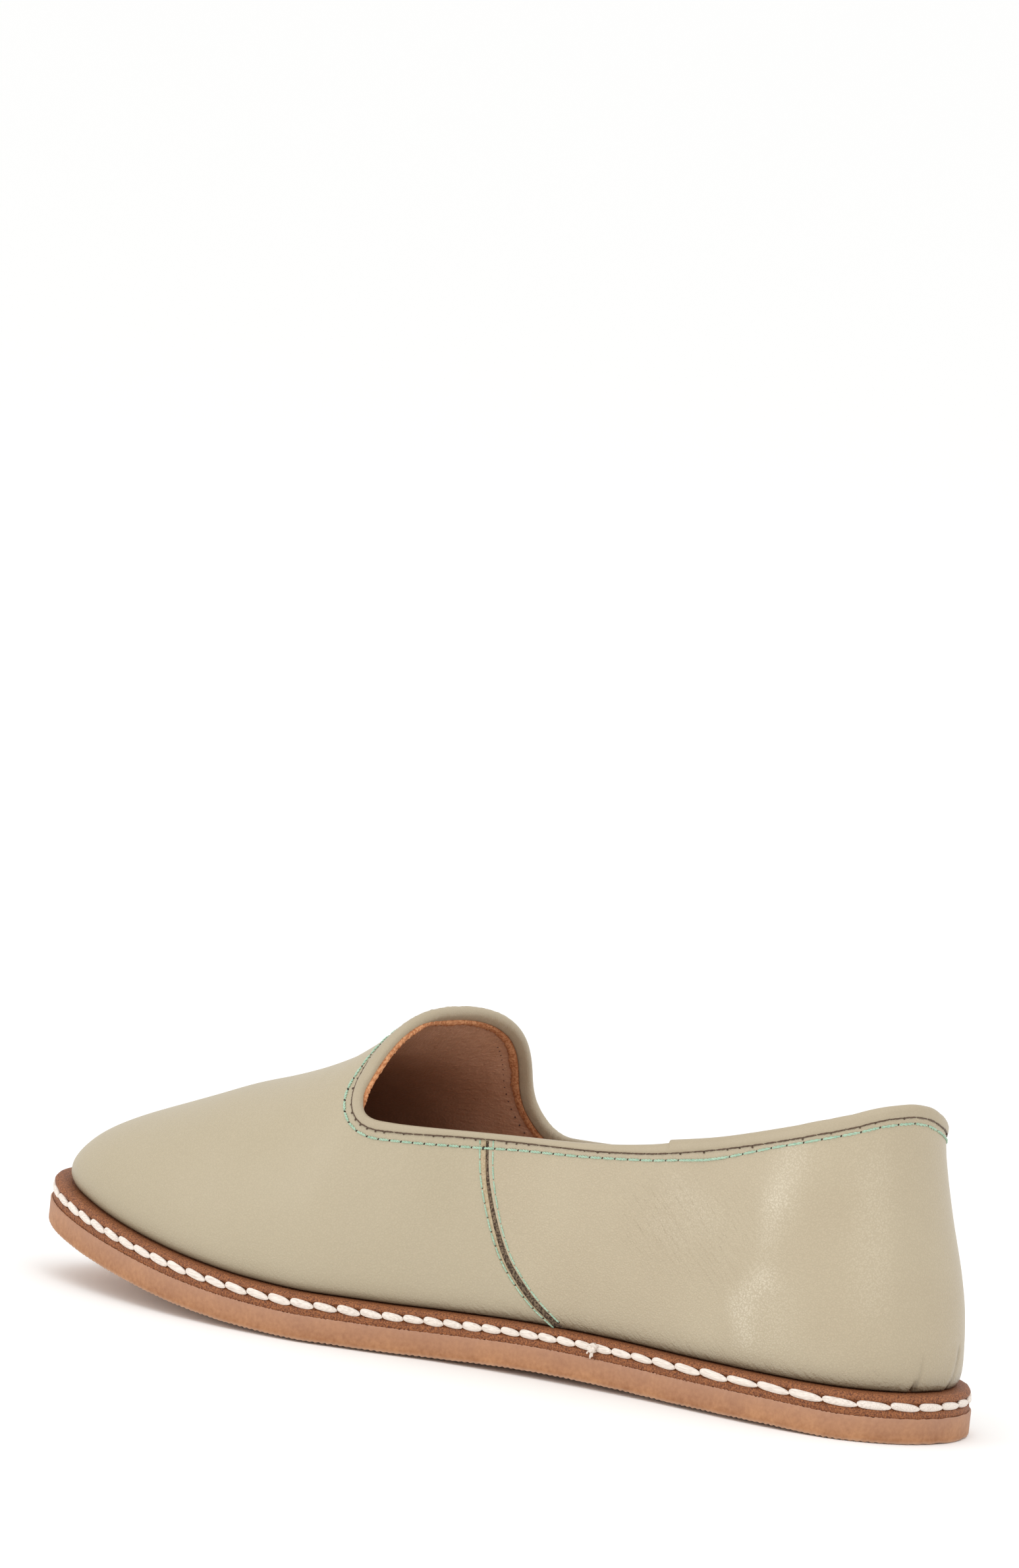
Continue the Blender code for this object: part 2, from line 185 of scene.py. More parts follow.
@dataclass(frozen=True)
class Last:
    """Shape of the last and the sole's outline, the same as in the shoe's solids."""

    length: float = 256.0
    seat: float = 12.1
    toe_spring: float = 14.2
    toe_spring_start: float = 158.7
    toe_spring_power: float = 1.9
    arch_lift: float = 0.8
    arch_start: float = 56.0
    arch_end: float = 143.0
    ledge: float = 3.0
    toe_ledge: float = 1.4
    toe_ledge_start: float = 222.0
    wall: float = 1.8
    tuck: float = 0.8
    tuck_height: float = 6.0
    section_power: float = 2.4
    throat: float = 151.2
    throat_slant: Pair = (11.5, 1.5)
    throat_bow: Pair = (0.0, 8.0)
    throat_reach: float = 72.0
    notch_radius: Pair = (13.0, 19.0)
    lean_reach: float = 110.0
    lean_power: float = 1.5
    ridge_wall: float = 1.15
    ridge_fade: float = 10.0
    # station, half width, offset of the centre line
    plan: Rows = (
        (0.0, 0.0, 0.0), (1.5, 9.2, 0.0), (6.0, 17.7, 0.0), (10.0, 21.8, 0.0), (15.0, 25.3, 0.0),
        (22.0, 28.1, 0.0), (31.0, 29.4, -0.2), (42.0, 29.8, 0.0), (55.0, 29.4, 0.5), (75.0, 28.9, 1.3),
        (100.0, 30.3, 1.7), (125.0, 34.5, 2.3), (145.0, 40.3, 1.3), (165.0, 44.0, -0.3),
        (180.0, 44.3, -0.5), (195.0, 42.9, -0.6), (210.0, 39.8, -0.6), (225.0, 34.6, -1.0),
        (238.0, 27.8, -2.0), (248.0, 20.0, -3.4), (254.0, 11.2, -4.2), (256.0, 0.0, -4.2),
    )
    # station, height of the ridge, offset of the ridge
    ridge: Rows = (
        (0.0, 108.0, 0.0), (50.0, 110.0, 0.0), (75.0, 110.0, -0.5), (100.0, 104.5, -0.8),
        (125.0, 94.8, -1.0), (149.5, 81.6, -1.2), (157.0, 75.4, -2.0), (165.0, 69.9, -2.8),
        (177.0, 64.2, -3.4), (188.0, 60.2, -3.6), (200.0, 56.3, -3.8), (212.0, 51.6, -4.0),
        (224.0, 46.9, -4.1), (236.0, 42.0, -4.2), (244.0, 38.0, -4.2), (250.0, 33.9, -4.2),
        (254.0, 29.8, -4.2), (256.0, 25.8, -4.2),
    )
    # station, height of the upper's edge on the medial side, and on the lateral side
    topline: Rows = (
        (0.0, 74.1, 74.1), (0.44, 75.3, 72.8), (2.45, 75.9, 70.9), (5.9, 75.4, 69.3), (9.0, 74.7, 68.3),
        (14.0, 73.1, 66.9), (24.0, 70.5, 64.6), (33.0, 68.0, 62.2), (46.5, 64.4, 58.6),
        (57.5, 61.5, 55.6), (69.7, 58.8, 52.7), (78.0, 57.1, 51.0), (95.0, 54.9, 48.6),
        (112.0, 53.8, 47.4), (132.0, 52.5, 46.2), (145.0, 52.0, 45.8), (160.0, 51.6, 45.6),
    )
    # height above the feather edge, distance the heel's back leans forward
    heel_lean: Rows = (
        (0.0, 0.0), (10.0, 0.5), (18.0, 1.4), (26.0, 3.2), (32.0, 5.0), (38.0, 6.9), (45.0, 8.8),
        (51.0, 10.2), (57.0, 11.2), (63.0, 11.5), (80.0, 11.5),
    )

    def angle_of(self, station: Array) -> Array:
        """Angle that spaces stations closely at the heel and the toe."""
        return np.arccos(1 - 2 * np.clip(np.asarray(station, float) / self.length, 0.0, 1.0))

    def station_of(self, angle: Array) -> Array:
        """Station of an angle."""
        return self.length * (1 - np.cos(angle)) / 2

    def read(self, rows: Rows, column: int, angle: Array) -> Array:
        """Reads a column of a table of stations at the stations' angles."""
        by_angle = tuple((float(self.angle_of(row[0])), *row[1:]) for row in rows)
        return curve(by_angle, column, angle)

    def lift(self, station: Array) -> Array:
        """Height of the sole's underside: flat heel and ball, low arch, toe spring."""
        front = self.length - self.toe_spring_start
        share = np.clip((station - self.toe_spring_start) / front, 0.0, None)
        inside = np.clip((station - self.arch_start) / (self.arch_end - self.arch_start), 0.0, 1.0)
        return self.toe_spring * share**self.toe_spring_power + self.arch_lift * np.sin(np.pi * inside) ** 2

    def outline(self, angle: Array, side: Side, inset: Array) -> Array:
        """Points of the sole's outline.

        Args:
            angle: Angles of the stations.
            side: Side of the shoe.
            inset: Distance inwards from the outline.

        Returns:
            X and station of each point, in a last axis of two.
        """
        angle = np.asarray(angle, float)
        step = 0.004

        def edge(at: Array) -> Array:
            """Point of the outline itself."""
            x = self.read(self.plan, 2, at) + side.value * self.read(self.plan, 1, at)
            return np.stack([x, self.station_of(at)], axis=-1)

        run = edge(np.minimum(angle + step, np.pi)) - edge(np.maximum(angle - step, 0.0))
        inward = unit(side.value * np.stack([-run[..., 1], run[..., 0]], axis=-1))
        inward[angle < 1e-6] = (0.0, 1.0)
        inward[angle > np.pi - 1e-6] = (0.0, -1.0)
        return edge(angle) + np.asarray(inset)[..., None] * inward

    def feather_inset(self, angle: Array) -> Array:
        """Distance of the feather edge from the sole's outline, wider at the toe."""
        share = (self.station_of(angle) - self.toe_ledge_start) / (self.length - self.toe_ledge_start)
        return self.ledge + self.toe_ledge * np.clip(share, 0.0, 1.0) ** 2

    def throat_share(self, station: Array) -> Array:
        """How much of the throat's slant and bow a section takes."""
        return (1 - np.clip(np.abs(station - self.throat) / self.throat_reach, 0.0, 1.0) ** 2) ** 2

    def pick(self, pair: Pair, side: Side) -> float:
        """Value of a medial and lateral pair for one side."""
        return pair[0] if side is Side.MEDIAL else pair[1]

    def foot(self, station: Array, side: Side) -> Array:
        """Angle of the point where a section meets the feather edge."""
        slant = -side.value * self.pick(self.throat_slant, side) * self.throat_share(station)
        return self.angle_of(station + slant)

    def low_and_height(self, station: Array, side: Side, depth: Array) -> tuple[Array, Array]:
        """Feather edge height of a section and the ridge's height above it.

        Args:
            station: Stations of the sections.
            side: Side of the shoe.
            depth: Distance inside the outer face.

        Returns:
            Height of the feather edge and rise from there to the ridge.
        """
        foot = self.foot(station, side)
        base = self.outline(foot, side, self.feather_inset(foot) + depth)
        low = self.lift(base[..., 1]) + self.seat
        height = self.read(self.ridge, 1, self.angle_of(station)) - low
        return low, height - depth * self.ridge_wall * np.minimum(1.0, height / self.ridge_fade)

    def point(self, station: Array, side: Side, angle: Array, depth: float = 0.0) -> Array:
        """Points of the last's surface.

        Args:
            station: Stations of the sections.
            side: Side of the shoe.
            angle: Angles in the section, from the feather edge to the ridge.
            depth: Distance inside the outer face.

        Returns:
            Points in a last axis of three.
        """
        station, angle, depth = np.broadcast_arrays(np.asarray(station, float), angle, depth)
        power = 2 / self.section_power
        low, height = self.low_and_height(station, side, depth)
        up = height * np.sin(angle) ** power
        spread = np.clip(np.cos(angle), 0.0, None) ** power
        tucked = self.tuck * np.clip(1 - up / self.tuck_height, 0.0, None) ** 2
        foot = self.foot(station, side)
        outer = self.outline(foot, side, self.feather_inset(foot) + depth + tucked)
        here = self.angle_of(station)
        middle_x = self.read(self.ridge, 2, here)
        both = [self.outline(here, way, self.feather_inset(here) + depth)[..., 1] for way in Side]
        middle_y = (both[0] + both[1]) / 2
        fading = np.clip(1 - station / self.lean_reach, 0.0, None) ** self.lean_power
        lean = curve(self.heel_lean, 1, up) * fading
        bow = self.pick(self.throat_bow, side) * self.throat_share(station)
        bow = bow * np.sin(angle) ** 4 * np.sin(2 * angle)
        x = middle_x + (outer[..., 0] - middle_x) * spread
        y = middle_y + (outer[..., 1] - middle_y) * spread + lean - bow
        return np.stack([x, y, low + up], axis=-1)

    def outward(self, station: Array, side: Side, angle: Array) -> Array:
        """Outward directions of the last's surface.

        Args:
            station: Stations of the sections.
            side: Side of the shoe.
            angle: Angles in the sections.

        Returns:
            Unit vectors.
        """
        step = 0.25
        turn = 0.002
        ahead = self.point(station + step, side, angle) - self.point(station - step, side, angle)
        upward = self.point(station, side, angle + turn) - self.point(station, side, angle - turn)
        return unit(np.cross(ahead, upward)) * side.value

    def wall_angle(self, station: Array, side: Side, share: Array, rise: float) -> Array:
        """Angles of the wall behind the throat, by height.

        Args:
            station: Stations of the sections.
            side: Side of the shoe.
            share: Share of the way from the feather edge to the upper's edge.
            rise: Distance by which the edge stands above that of the shoe's solid.

        Returns:
            Angles in the sections.
        """
        station, share = np.broadcast_arrays(np.asarray(station, float), share)
        radius = self.pick(self.notch_radius, side) - rise
        level = self.read(self.topline, 1 if side is Side.MEDIAL else 2, self.angle_of(station)) + rise
        near = np.clip((station - self.throat + rise + radius) / radius, 0.0, 1.0)
        level = level + radius * (1 - np.sqrt(1 - near**2))
        low, height = self.low_and_height(station, side, np.zeros(station.shape))
        ratio = np.clip(share * (level - low) / height, 0.0, 1.0)
        return np.arcsin(ratio ** (self.section_power / 2))


class ShoeFrame:
    """Turns the shoe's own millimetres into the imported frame's metres."""

    def __init__(self, last: Last) -> None:
        """Finds the heel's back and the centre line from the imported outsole.

        Args:
            last: Shape of the last.
        """
        low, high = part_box("outsole")
        angle = np.linspace(0.0, np.pi, 400)
        edges = [last.outline(angle, side, np.zeros(len(angle)))[:, 0] for side in Side]
        plan_middle = (edges[0].min() + edges[1].max()) / 2
        self.shift = np.array([(low.x + high.x) / 2 / MM - plan_middle, low.y / MM, 0.0])

    def metres(self, points: Array) -> Array:
        """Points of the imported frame."""
        return (np.asarray(points, float) + self.shift) * MM

    def millimetres(self, points: Array) -> Array:
        """Points of the shoe's own frame."""
        return np.asarray(points, float) / MM - self.shift


def add_node(
    tree: Tree, kind: str, inputs: dict | None = None, **settings: object
) -> Node:
    """Adds one node.

    Args:
        tree: Tree that gets the node.
        kind: Type name of the node after ShaderNode.
        inputs: Values or source sockets by input name or place.
        **settings: The node's own properties.

    Returns:
        The new node.
    """
    node = tree.nodes.new("ShaderNode" + kind)
    for name, value in settings.items():
        setattr(node, name, value)
    for name, value in (inputs or {}).items():
        if isinstance(value, Socket):
            tree.links.new(value, node.inputs[name])
        else:
            node.inputs[name].default_value = value
    return node


@dataclass(frozen=True)
class Finish:
    """A surface finish that is built once and shared by its pieces."""

    name: str
    colour: str
    shade: str
    roughness: float = 0.5

    def material(self) -> bpy.types.Material:
        """Finds or builds the material."""
        found = bpy.data.materials.get(self.name)
        if found:
            return found
        made = bpy.data.materials.new(self.name)
        made.use_nodes = True
        shader = made.node_tree.nodes["Principled BSDF"]
        shader.inputs["Base Color"].default_value = linear(self.colour)
        shader.inputs["Roughness"].default_value = self.roughness
        self.dress(made.node_tree, shader)
        return made

    def dress(self, tree: Tree, shader: Node) -> None:
        """Adds the finish's own nodes; a plain finish has none."""

    def layered(self, tree: Tree, *tones: tuple[Socket, str]) -> Socket:
        """Lays colours over the finish's own, one after another.

        Args:
            tree: The material's node tree.
            *tones: Share and hex colour of each layer.

        Returns:
            The mixed colour's socket.
        """
        mixed = linear(self.colour)
        for share, tone in tones:
            inputs = {0: share, 6: mixed, 7: linear(tone)}
            mixed = add_node(tree, "Mix", inputs, data_type="RGBA").outputs[2]
        return mixed

    def emboss(self, tree: Tree, shader: Node, *layers: tuple[Socket, float, float]) -> None:
        """Presses patterns into the surface, one on another.

        Args:
            tree: The material's node tree.
            shader: Its Principled BSDF.
            *layers: Height, strength and depth in millimetres of each pattern.
        """
        normal = None
        for height, strength, depth in layers:
            inputs = {"Height": height, "Strength": strength, "Distance": depth * MM}
            if normal:
                inputs["Normal"] = normal
            normal = add_node(tree, "Bump", inputs).outputs[0]
        tree.links.new(normal, shader.inputs["Normal"])


@dataclass(frozen=True)
class GrainLeather(Finish):
    """Full-grain cowhide with a light pigment coat: fine pebbles, soft gloss, faint clouds of colour.

    Three attributes of a piece add to it: one darkens it with painted shade along the feather edge and in
    creases, one makes its pebbles glossy and lightens them with a painted highlight, and pull draws fine
    slanting wrinkles where it is strained. Painted shade also darkens the furrows between the pebbles. Real
    pores are about 0.1 mm wide and are drawn coarser, so that they show.
    """

    pebble: float = 0.48
    warp: float = 1.6
    warp_reach: float = 0.7
    pore: float = 0.3
    pore_depth: float = 0.04
    cloud: float = 40.0
    pebble_depth: float = 0.06
    # how much painted shade darkens the furrows between the pebbles
    furrow_shade: float = 0.07
    coat: float = 0.1
    coat_roughness: float = 0.3
    polished: float = 0.1
    # colour of the painted shade in furrows, along the feather edge and in creases
    shade_paint: str = "4A3A26"
    # colour of the painted highlight on glossy pebbles
    painted_highlight: str = "F4ECD8"
    wrinkle: float = 1.1
    wrinkle_turn: float = 45.0
    wrinkle_stretch: float = 6.0
    wrinkle_depth: float = 0.65

    def grain(self, tree: Tree, place: Socket) -> Socket:
        """Pebbles of the grain side.

        Args:
            tree: The material's node tree.
            place: Object coordinates.

        Returns:
            Height from zero in the furrows to one on the pebbles.
        """
        warp = add_node(
            tree, "TexNoise", {"Vector": place, "Scale": per_metre(self.warp), "Detail": 2.0}
        ).outputs["Color"]
        reach = (self.warp_reach * MM,) * 3
        bent = add_node(
            tree, "VectorMath", {0: warp, 1: reach, 2: place}, operation="MULTIPLY_ADD"
        ).outputs[0]
        gap = add_node(
            tree,
            "TexVoronoi",
            {"Vector": bent, "Scale": per_metre(self.pebble), "Smoothness": 0.5},
            feature="SMOOTH_F1",
        ).outputs["Distance"]
        return add_node(tree, "MapRange", {0: gap, 1: 0.15, 2: 0.62, 3: 1.0, 4: 0.0}).outputs[0]

    def colours(self, tree: Tree, place: Socket, grain: Socket) -> Socket:
        """Clouds, painted shade in the furrows, along the feather edge and in creases, and a painted
        highlight on glossy pebbles.

        Args:
            tree: The material's node tree.
            place: Object coordinates.
            grain: Height of the pebbles.

        Returns:
            The colour's socket.
        """
        # one attribute carries painted shade (feather edge, creases, deep in the lining's toe), the other
        # gloss with a painted highlight
        painted_shade = add_node(tree, "Attribute", attribute_name="painted_shade").outputs["Fac"]
        gloss_and_highlight = add_node(tree, "Attribute", attribute_name="gloss_and_highlight").outputs["Fac"]
        cloud = add_node(
            tree, "TexNoise", {"Vector": place, "Scale": per_metre(self.cloud), "Detail": 4.0}
        ).outputs["Fac"]
        clouds = add_node(tree, "MapRange", {0: cloud, 1: 0.35, 2: 0.65, 3: 0.0, 4: 1.0}).outputs[0]
        # painted shade in the furrows between the pebbles
        furrow_shade = add_node(tree, "MapRange", {0: grain, 1: 0.0, 2: 0.8, 3: self.furrow_shade, 4: 0.0}).outputs[0]
        # painted highlight on the pebbles of glossy places
        lit = add_node(tree, "Math", {0: grain, 1: 0.24, 2: 0.05}, operation="MULTIPLY_ADD").outputs[0]
        share = add_node(tree, "Math", {0: gloss_and_highlight, 1: lit}, operation="MULTIPLY").outputs[0]
        return self.layered(
            tree, (clouds, self.shade), (furrow_shade, self.shade_paint), (painted_shade, self.shade_paint), (share, self.painted_highlight)
        )

    def dress(self, tree: Tree, shader: Node) -> None:
        """Adds colours, gloss, pebbles, pores and pulled wrinkles.

        Args:
            tree: The material's node tree.
            shader: Its Principled BSDF.
        """
        place = add_node(tree, "TexCoord").outputs["Object"]
        grain = self.grain(tree, place)
        tree.links.new(self.colours(tree, place, grain), shader.inputs["Base Color"])
        gloss_and_highlight = add_node(tree, "Attribute", attribute_name="gloss_and_highlight").outputs["Fac"]
        pull = add_node(tree, "Attribute", attribute_name="pull").outputs["Fac"]
        matt = add_node(
            tree,
            "MapRange",
            {0: gloss_and_highlight, 1: 0.0, 2: 1.0, 3: self.roughness, 4: self.roughness - self.polished},
        ).outputs[0]
        tree.links.new(matt, shader.inputs["Roughness"])
        pores = add_node(
            tree, "TexNoise", {"Vector": place, "Scale": per_metre(self.pore), "Detail": 2.0}
        ).outputs["Fac"]
        lean = (math.radians(self.wrinkle_turn), 0.0, 0.0)
        turned = add_node(
            tree,
            "Mapping",
            {"Vector": place, "Rotation": lean, "Scale": (1.0, self.wrinkle_stretch, 1.0)},
            vector_type="TEXTURE",
        ).outputs[0]
        wrinkles = add_node(
            tree, "TexNoise", {"Vector": turned, "Scale": per_metre(self.wrinkle), "Detail": 2.0}
        ).outputs["Fac"]
        pulled = add_node(tree, "Math", {0: wrinkles, 1: pull}, operation="MULTIPLY").outputs[0]
        self.emboss(
            tree,
            shader,
            (pulled, 1.0, self.wrinkle_depth),
            (grain, 0.8, self.pebble_depth),
            (pores, 0.5, self.pore_depth),
        )
        shader.inputs["Coat Weight"].default_value = self.coat
        shader.inputs["Coat Roughness"].default_value = self.coat_roughness


@dataclass(frozen=True)
class FibreLeather(Finish):
    """Cut or flesh side of leather: no pigment coat, so short fibres and speckles show."""

    fibre: float = 0.45
    fibre_depth: float = 0.16
    contrast: float = 0.18
    specular: float = 0.3

    def dress(self, tree: Tree, shader: Node) -> None:
        """Adds speckles and a fibrous relief.

        Args:
            tree: The material's node tree.
            shader: Its Principled BSDF.
        """
        place = add_node(tree, "TexCoord").outputs["Object"]
        fibre = add_node(
            tree, "TexNoise", {"Vector": place, "Scale": per_metre(self.fibre), "Detail": 4.0}
        )
        edge = self.contrast / 2
        speck = add_node(
            tree,
            "MapRange",
            {0: fibre.outputs["Fac"], 1: 0.5 - edge, 2: 0.5 + edge, 3: 0.0, 4: 1.0},
        )
        mixed = self.layered(tree, (speck.outputs[0], self.shade))
        tree.links.new(mixed, shader.inputs["Base Color"])
        self.emboss(tree, shader, (fibre.outputs["Fac"], 0.8, self.fibre_depth))
        shader.inputs["Specular IOR Level"].default_value = self.specular


@dataclass(frozen=True)
class SoleRubber(Finish):
    """Buffed natural rubber: matt and a little cloudy, with specks.

    A paler scuffed band runs along its top, and its lower edge is worn.
    """

    band: str = "AC836C"
    edge: str = "D8BBA4"
    cloud: float = 9.0
    speck: float = 1.1
    speck_depth: float = 0.16
    specular: float = 0.35

    def dress(self, tree: Tree, shader: Node) -> None:
        """Adds clouds, specks and the two bands, which follow the piece's UV map.

        Args:
            tree: The material's node tree.
            shader: Its Principled BSDF.
        """
        where = add_node(tree, "TexCoord")
        place = where.outputs["Object"]
        cloud = add_node(
            tree, "TexNoise", {"Vector": place, "Scale": per_metre(self.cloud), "Detail": 5.0}
        )
        grit = add_node(
            tree, "TexNoise", {"Vector": place, "Scale": per_metre(self.speck), "Detail": 6.0}
        )
        both = add_node(tree, "Math", {0: cloud.outputs["Fac"], 1: grit.outputs["Fac"]}, operation="ADD")
        spread = add_node(tree, "MapRange", {0: both.outputs[0], 1: 0.7, 2: 1.3, 3: 0.0, 4: 1.0})
        up = add_node(tree, "SeparateXYZ", {0: where.outputs["UV"]}).outputs[1]
        ragged = add_node(
            tree, "Math", {0: cloud.outputs["Fac"], 1: 0.25, 2: up}, operation="MULTIPLY_ADD"
        )
        band = add_node(tree, "MapRange", {0: ragged.outputs[0], 1: 0.45, 2: 1.0, 3: 0.0, 4: 0.8})
        worn = add_node(tree, "MapRange", {0: up, 1: 0.1, 2: 0.3, 3: 0.4, 4: 0.0})
        tones = ((spread, self.shade), (band, self.band), (worn, self.edge))
        mixed = self.layered(tree, *((node.outputs[0], tone) for node, tone in tones))
        tree.links.new(mixed, shader.inputs["Base Color"])
        self.emboss(tree, shader, (grit.outputs["Fac"], 0.5, self.speck_depth))
        shader.inputs["Specular IOR Level"].default_value = self.specular


@dataclass(frozen=True)
class ThreadFinish(Finish):
    """Spun thread: a soft sheen, and fine fibres along it that are drawn coarse enough to show."""

    fibre: float = 0.3
    fibre_stretch: float = 0.12
    fibre_depth: float = 0.1
    sheen: float = 0.15

    def dress(self, tree: Tree, shader: Node) -> None:
        """Adds fibres and a sheen.

        Args:
            tree: The material's node tree.
            shader: Its Principled BSDF.
        """
        place = add_node(tree, "TexCoord").outputs["Object"]
        along = add_node(
            tree, "Mapping", {"Vector": place, "Scale": (1.0, self.fibre_stretch, 1.0)}
        ).outputs[0]
        fibre = add_node(
            tree, "TexNoise", {"Vector": along, "Scale": per_metre(self.fibre), "Detail": 3.0}
        )
        spread = add_node(tree, "MapRange", {0: fibre.outputs["Fac"], 1: 0.4, 2: 0.72, 3: 0.0, 4: 1.0})
        mixed = self.layered(tree, (spread.outputs[0], self.shade))
        tree.links.new(mixed, shader.inputs["Base Color"])
        self.emboss(tree, shader, (fibre.outputs["Fac"], 0.6, self.fibre_depth))
        shader.inputs["Sheen Weight"].default_value = self.sheen


# cowhide under a thin pigment coat: a fine pebble with a dull gloss
UPPER_LEATHER = GrainLeather("full_grain_leather_beige", "B2A58B", "AFA287", 0.5)
# the same hide, glazed where the heel was moulded: deeper pebbles and more gloss
QUARTER_LEATHER = GrainLeather(
    "glazed_full_grain_leather_beige", "B6A88D", "B1A287", 0.45, pebble_depth=0.09, furrow_shade=0.09, coat=0.2
)
# a strip of the same hide, stretched: its pebbles are nearly flat
BINDING_LEATHER = GrainLeather(
    "binding_leather_beige", "AEA087", "A89A80", 0.5, pebble=0.42, pebble_depth=0.03, furrow_shade=0.05
)
# soft lining leather without pigment: tan, with broad pebbles, and painted shade that darkens it deep in
# the toe
LINING_LEATHER = GrainLeather(
    "lining_leather_tan", "D8A788", "CA9877", 0.5, pebble=0.7, cloud=12.0, shade_paint="2A160C", wrinkle_turn=5.0
)
# edge cut with a knife: pale and matt
CUT_LEATHER = FibreLeather("cut_leather_pale", "C0AE90", "B09C7C", 0.75)
# flesh side, torn rather than cut: loose orange fibres
FLESH_LEATHER = FibreLeather("raw_flesh_leather_orange", "D89F72", "A9683F", 0.85, fibre=0.6, contrast=0.3)
# split leather tape: dark and dull
SEAM_LEATHER = FibreLeather("seam_tape_leather_dark", "7C6A55", "43342A", 0.8, fibre=0.5, contrast=0.12)
# sole leather with a sanded and stained edge: brown, with lighter fibres
MIDSOLE_LEATHER = FibreLeather(
    "sole_leather_brown", "5A3120", "A4683F", 0.6, fibre=0.42, fibre_depth=0.26, contrast=0.36
)
# buffed crepe-like rubber: matt honey with brown clouds
RUBBER = SoleRubber("natural_rubber_honey", "B3815A", "94623F", 0.6)
# waxed linen, hardly twisted: a dull cream
SOLE_THREAD = ThreadFinish("waxed_linen_thread_white", "EADFD4", "CDBFB3", 0.75)
# polyester sewing threads: even colours with a slight sheen
GREEN_THREAD = ThreadFinish("polyester_thread_mint", "AECAB2", "82A78E", 0.5)
LINING_THREAD = ThreadFinish("polyester_thread_chestnut", "563726", "41281A", 0.6)
BROWN_THREAD = ThreadFinish("polyester_thread_brown", "5B4330", "45311F", 0.55)
# dark domes of painted shade for the needle holes, and plain paper: no gloss and no pattern
HOLE_SHADE = Finish("needle_hole_painted_shade", "2A2018", "2A2018", 0.9)
PAPER = Finish("matt_paper_white", "FBFBFA", "FBFBFA", 0.9)


class Sheet:
    """Collects grids of points into one set of points and faces."""

    def __init__(self) -> None:
        """Starts empty."""
        self.points: list[Array] = []
        self.faces: Faces = []
        self.choice: list[int] = []
        self.count = 0

    def grid(
        self, points: Array, flip: bool = False, closed: bool = False, choice: Array | None = None
    ) -> None:
        """Adds a grid of points with its faces.

        Args:
            points: Points by row and column.
            flip: Whether the faces turn the other way.
            closed: Whether the last row joins the first.
            choice: Material slot of each row of faces.
        """
        rows, columns = points.shape[:2]
        index = self.count + np.arange(rows * columns).reshape(rows, columns)
        self.points.append(points.reshape(-1, 3))
        self.count += rows * columns
        if closed:
            index = np.concatenate([index, index[:1]])
        quads = np.stack([index[:-1, :-1], index[:-1, 1:], index[1:, 1:], index[1:, :-1]], axis=-1)
        self.faces += listed(quads[..., ::-1] if flip else quads)
        slots = np.zeros(len(quads), int) if choice is None else choice
        self.choice += np.repeat(slots, columns - 1).tolist()

    def all_points(self) -> Array:
        """All points so far."""
        return np.concatenate(self.points)


